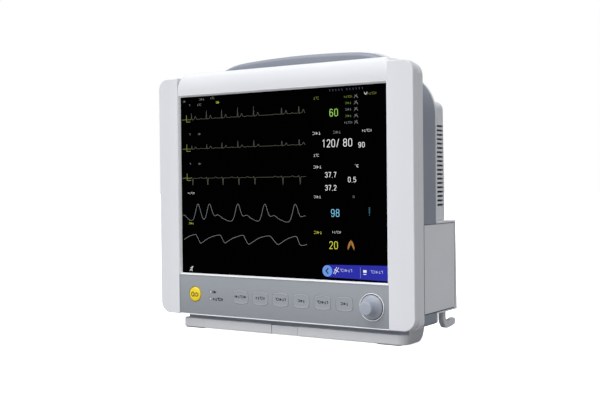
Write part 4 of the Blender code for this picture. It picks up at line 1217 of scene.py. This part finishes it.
# (x, y) of what is cut away behind the shoulders, so that they thin outwards
TAPER = [(90, 76), (97, 73.0), (104, 70.2), (110, 67.6), (116, 65.6), (122, 64.6), (160, 64.2),
         (160, 90), (90, 90)]
for side in (-1, 1):
    boolean(rear_handle, slab([[(side * x, y) for x, y in TAPER]], 100, 200, axis=2))

# ------------------------------------------------------------------ bays, door, hook, feet

refine("battery_bay", LIGHT, width=0.7)
refine("sensor_bay", LIGHT, width=0.7)
refine("battery_door", LIGHT, body="battery_door", width=0.45)
refine("sensor_panel", LIGHT, width=0.45)
refine("base_plate", LIGHT, width=1.0, segments=3)
refine("mounting_plate", STEEL, width=0.3)

# the hook seen from the side, as (y, z)
hook = [(89.1, -155.7), (96.4, -155.7), (96.4, -160.8)]
hook += arc(103.0, -162.2, 6.5, 184, 262, 14)
hook += [(107, -168.5), (113, -167.9), (121.5, -166.5)]
hook += arc(121.9, -168.6, 2.1, 88, 0, 6)[1:] + [(124.0, -172.4)]
hook += arc(121.9, -173.0, 2.1, 0, -80, 6)[1:] + [(113, -176.5)]
hook += arc(102.8, -163.6, 13.7, 268, 184, 14) + [(89.1, -160.5)]
remake("cable_hook", slab([hook], 173.1, 180.1, axis=0, bevel=0.9, steps=4), LIGHT, angle=40)

# painted shade: dark strips put in the narrow gaps where the door meets the case stand for the
# shadow in them
shadow_strips = cube((179.0, 22.7, -152.3), (186.5, 24.9, -48.7), soft=0.2)
cube((179.0, 24.6, -153.0), (185.1, 109.0, -152.15), into=shadow_strips)
cube((179.0, 24.6, -48.85), (185.1, 109.0, -48.3), into=shadow_strips)
emit("door_shadow_gap", shadow_strips, BLACK)

# (radius, z)
FOOT_PROFILE = [(0, -184.0), (8.5, -184.0), (9.2, -184.6), (9.5, -186.6), (9.3, -187.9),
                (8.7, -Z_FLOOR), (0, -Z_FLOOR)]
for side, label in ((-1, "left"), (1, "right")):
    pad = side_cube(side, (129, 13, -Z_FLOOR), (160, 21.5, -187.6), corner=3.5, axis=2, steps=6)
    remake("foot_front_" + label, pad, RUBBER)
    remake("foot_rear_" + label,
           lathe(FOOT_PROFILE, (side * 112, 98, 0), 64, direction=(0, 0, 1)), RUBBER, angle=50)

# ------------------------------------------------------------------ sensor sockets

SOCKET_X = -182.4
LEFTWARDS = (-1, 0, 0)
# y, z, outer radius, material, number of contacts
SOCKETS = {
    "ecg_socket": (42.0, -74.0, 11.0, BLUE, 6),
    "spo2_socket": (42.0, -104.0, 8.5, BLUE, 5),
    "pressure_port": (42.0, -132.0, 6.5, STEEL, 0),
    "temperature_socket_1": (78.0, -70.0, 4.5, BLACK, 1),
    "temperature_socket_2": (78.0, -88.0, 4.5, BLACK, 1),
}
PIN_PROFILE = [(0, -4.0), (0.45, -4.2), (0.6, -4.8), (0.6, -8.95), (0, -8.95)]
NOZZLE_PROFILE = [(1.2, -8.9), (2.0, -8.9), (2.0, 1.2), (1.8, 1.6), (1.2, 1.6)]
for node, (y, z, radius, material, contacts) in SOCKETS.items():
    pit = radius * 0.68
    profile = [
        (0, -9.0), (pit - 0.2, -9.0), (pit, -8.7), (pit, 3.9), (pit + 0.35, 4.4),
        (pit + 0.7, 4.6), (radius * 0.9, 4.6), (radius * 0.96, 4.4), (radius, 3.9),
        (radius, 0.6), (radius, -14.0), (0, -14.0)]
    centre = (SOCKET_X, y, z)
    remake(node, lathe(profile, centre, direction=LEFTWARDS), material, angle=40)
    if contacts:
        pins = bmesh.new()
        spread = pit * 0.55 if contacts > 1 else 0
        for i in range(contacts):
            a = math.tau * i / contacts + 0.3
            pin_centre = (SOCKET_X, y + spread * math.cos(a), z + spread * math.sin(a))
            lathe(PIN_PROFILE, pin_centre, 20, direction=LEFTWARDS, into=pins)
        emit(node + "_pins", pins, BRASS, angle=50)
    else:
        nozzle = lathe(NOZZLE_PROFILE, centre, 40, direction=LEFTWARDS, closed=True)
        emit(node + "_nozzle", nozzle, STEEL, angle=50)

# ------------------------------------------------------------------ rear connectors, screws

refine("mains_inlet", BLACK, width=0.35)
for node in ("network_port", "usb_port"):
    refine(node, STEEL, width=0.3, slot="aluminium")
tongues = bmesh.new()
cube((54.5, 107.0, -123.6), (64.5, 115.5, -121.8), soft=0.2, into=tongues)
cube((24.0, 106.5, -117.9), (38.0, 113.0, -116.9), soft=0.1, into=tongues)
emit("port_tongues", tongues, BLACK)
port_contacts = bmesh.new()
for i in range(8):
    x = 1.35 * i
    cube((26.2 + x, 107.0, -118.6), (26.8 + x, 112.5, -117.7), into=port_contacts)
for i in range(4):
    x = 2.2 * i
    cube((55.6 + x, 108.0, -124.0), (56.8 + x, 115.0, -123.5), into=port_contacts)
emit("port_contacts", port_contacts, BRASS)

refine("earth_stud", BRASS, width=0.25)
# (radius, height towards the rear)
SCREW_PROFILE = [(0, 1.9), (1.6, 1.85), (2.6, 1.55), (3.2, 1.05), (3.4, 0.6), (3.3, 0.45),
                 (1.5, 0.45), (1.5, -8.0), (0, -8.0)]
screw_y = rear_y(SCREW_Z)
for label, x in (("left", -SCREW_X), ("right", SCREW_X)):
    head = lathe(SCREW_PROFILE, (x, screw_y, SCREW_Z), 48, direction=(0, 1, 0))
    screw = remake("cover_screw_" + label, head, STEEL, angle=45)
    # the two slots of the cross
    for half_x, half_z in ((1.9, 0.35), (0.35, 1.9)):
        boolean(screw, cube((x - half_x, screw_y + 0.9, SCREW_Z - half_z),
                            (x + half_x, screw_y + 4, SCREW_Z + half_z)))

# ------------------------------------------------------------------ inside

refine("battery_pack", BLACK, width=1.2, segments=3)
emit("battery_pull_tab", merge(bmesh.new(), cube((176.6, 78, -104), (177.3, 96, -98), soft=0.15)),
     YELLOW)
refine("power_supply", ALUMINIUM, width=0.6)
refine("heat_sink", ALUMINIUM, width=0.2)

# on the board across the case: centre x, centre z, width, height, depth
MAIN_CHIPS = [(-80, 70, 26, 26, 3), (-45, 75, 14, 14, 2.4), (50, 70, 30, 12, 5),
              (45, 40, 18, 18, 2.6), (-80, 20, 22, 10, 4), (60, 5, 12, 20, 6),
              (-50, 0, 34, 8, 5), (35, 0, 10, 10, 7)]
# on the board at the left side: centre y, centre z
SIDE_CHIPS = [(75, -70), (92, -78), (80, -100), (95, -120), (75, -135)]
CHIP_FRONT = 35.7
chips = bmesh.new()
for x, z, width, height, depth in MAIN_CHIPS:
    cube((x - width / 2, CHIP_FRONT, z - height / 2),
         (x + width / 2, CHIP_FRONT + depth, z + height / 2), soft=0.3, into=chips)
for y, z in SIDE_CHIPS:
    cube((-136.2, y - 5, z - 6), (-133.4, y + 5, z + 6), soft=0.3, into=chips)
emit("board_components", chips, BLACK)

# CAD pieces that keep their shape
KEPT = {
    "lcd_chassis": ALUMINIUM, "speaker": BLACK, "internal_chassis": STEEL, "main_board": BOARD,
    "parameter_board": BOARD, "port_board": BOARD, "keypad_board": BOARD, "encoder_body": BLACK,
    "encoder_plunger": ALUMINIUM, "encoder_shaft": STEEL, "pressure_pump": BLACK,
    "door_hinge_pin": STEEL,
}
for node, material in KEPT.items():
    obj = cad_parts[node]
    if not obj.material_slots:
        obj.data.materials.append(material)
    for used in obj.material_slots:
        used.material = material

# ------------------------------------------------------------------ stage, light and world


def paper_material():
    """Looks white to the camera and throws back less light, as a distant backdrop would."""
    material, tree, shader = new_material("floor_paper")
    to_camera = add(tree, "ShaderNodeLightPath").outputs["Is Camera Ray"]
    feed(tree, shader, {
        "Base Color": mix(tree, to_camera, (0.34, 0.34, 0.345), (0.93, 0.93, 0.94)),
        "Emission Color": (1, 1, 1),
        "Emission Strength": mix(tree, to_camera, (0.0, 0.0, 0.0), (0.95, 0.95, 0.95)),
        "Roughness": 0.9,
        "Specular IOR Level": 0.05,
    })
    return material


grid = bmesh.new()
bmesh.ops.create_grid(grid, x_segments=2, y_segments=2, size=14.0)
floor = bpy.data.objects.new("floor", bake("floor", grid))
LINK(floor)
floor.data.materials.append(paper_material())


def sun(name, direction, strength, angle):
    """A sun that shines from direction; angle is its spread in degrees."""
    light = bpy.data.lights.new(name, "SUN")
    light.energy = strength
    light.angle = math.radians(angle)
    obj = bpy.data.objects.new(name, light)
    LINK(obj)
    obj.rotation_euler = Vector(direction).to_track_quat("Z", "Y").to_euler()


sun("key", direction=(-0.28, -0.85, 0.40), strength=1.5, angle=50)
sun("top", direction=(0.0, -0.10, 1.0), strength=2.3, angle=70)

# the world lights the scene dimly and looks white to the camera
world = bpy.data.worlds.new("studio")
SCENE.world = world
world.use_nodes = True
tree = world.node_tree
back = tree.nodes["Background"]
feed(tree, back, {"Color": (0.96, 0.98, 1.0), "Strength": 0.40})
seen = add(tree, "ShaderNodeBackground", {"Color": (1, 1, 1), "Strength": 1.0})
to_camera = add(tree, "ShaderNodeLightPath").outputs["Is Camera Ray"]
blend = add(tree, "ShaderNodeMixShader", {0: to_camera, 1: back.outputs[0], 2: seen.outputs[0]})
feed(tree, tree.nodes["World Output"], {"Surface": blend.outputs[0]})
SCENE.view_settings.view_transform = "Standard"
SCENE.view_settings.look = "None"

# ------------------------------------------------------------------ camera

# at the front right, a little above the middle of the screen; angles in degrees
AZIMUTH, ELEVATION, ROLL = (math.radians(angle) for angle in (33.012, 0.946, -0.569))
DISTANCE, SHIFT_RIGHT, SHIFT_UP = 1207.106, 27.522, -19.576
SENSOR_WIDTH, FOCAL_LENGTH = 36.0, 58.87722

backward = Vector((math.sin(AZIMUTH) * math.cos(ELEVATION),
                   -math.cos(AZIMUTH) * math.cos(ELEVATION),
                   math.sin(ELEVATION)))
right = (-backward).cross(Vector((0, 0, 1))).normalized()
up = right.cross(-backward)
rolled_right = right * math.cos(ROLL) + up * math.sin(ROLL)
rolled_up = -right * math.sin(ROLL) + up * math.cos(ROLL)
eye = TO_ROW @ (backward * DISTANCE + right * SHIFT_RIGHT + up * SHIFT_UP)
lens = bpy.data.cameras.new("camera")
lens.sensor_fit = "HORIZONTAL"
lens.sensor_width = SENSOR_WIDTH
lens.lens = FOCAL_LENGTH
lens.clip_start = 0.01
lens.clip_end = 100.0
camera = bpy.data.objects.new("camera", lens)
LINK(camera)
turned = Matrix((rolled_right, rolled_up, backward)).transposed().to_4x4()
camera.matrix_world = Matrix.Translation(eye) @ turned
SCENE.camera = camera
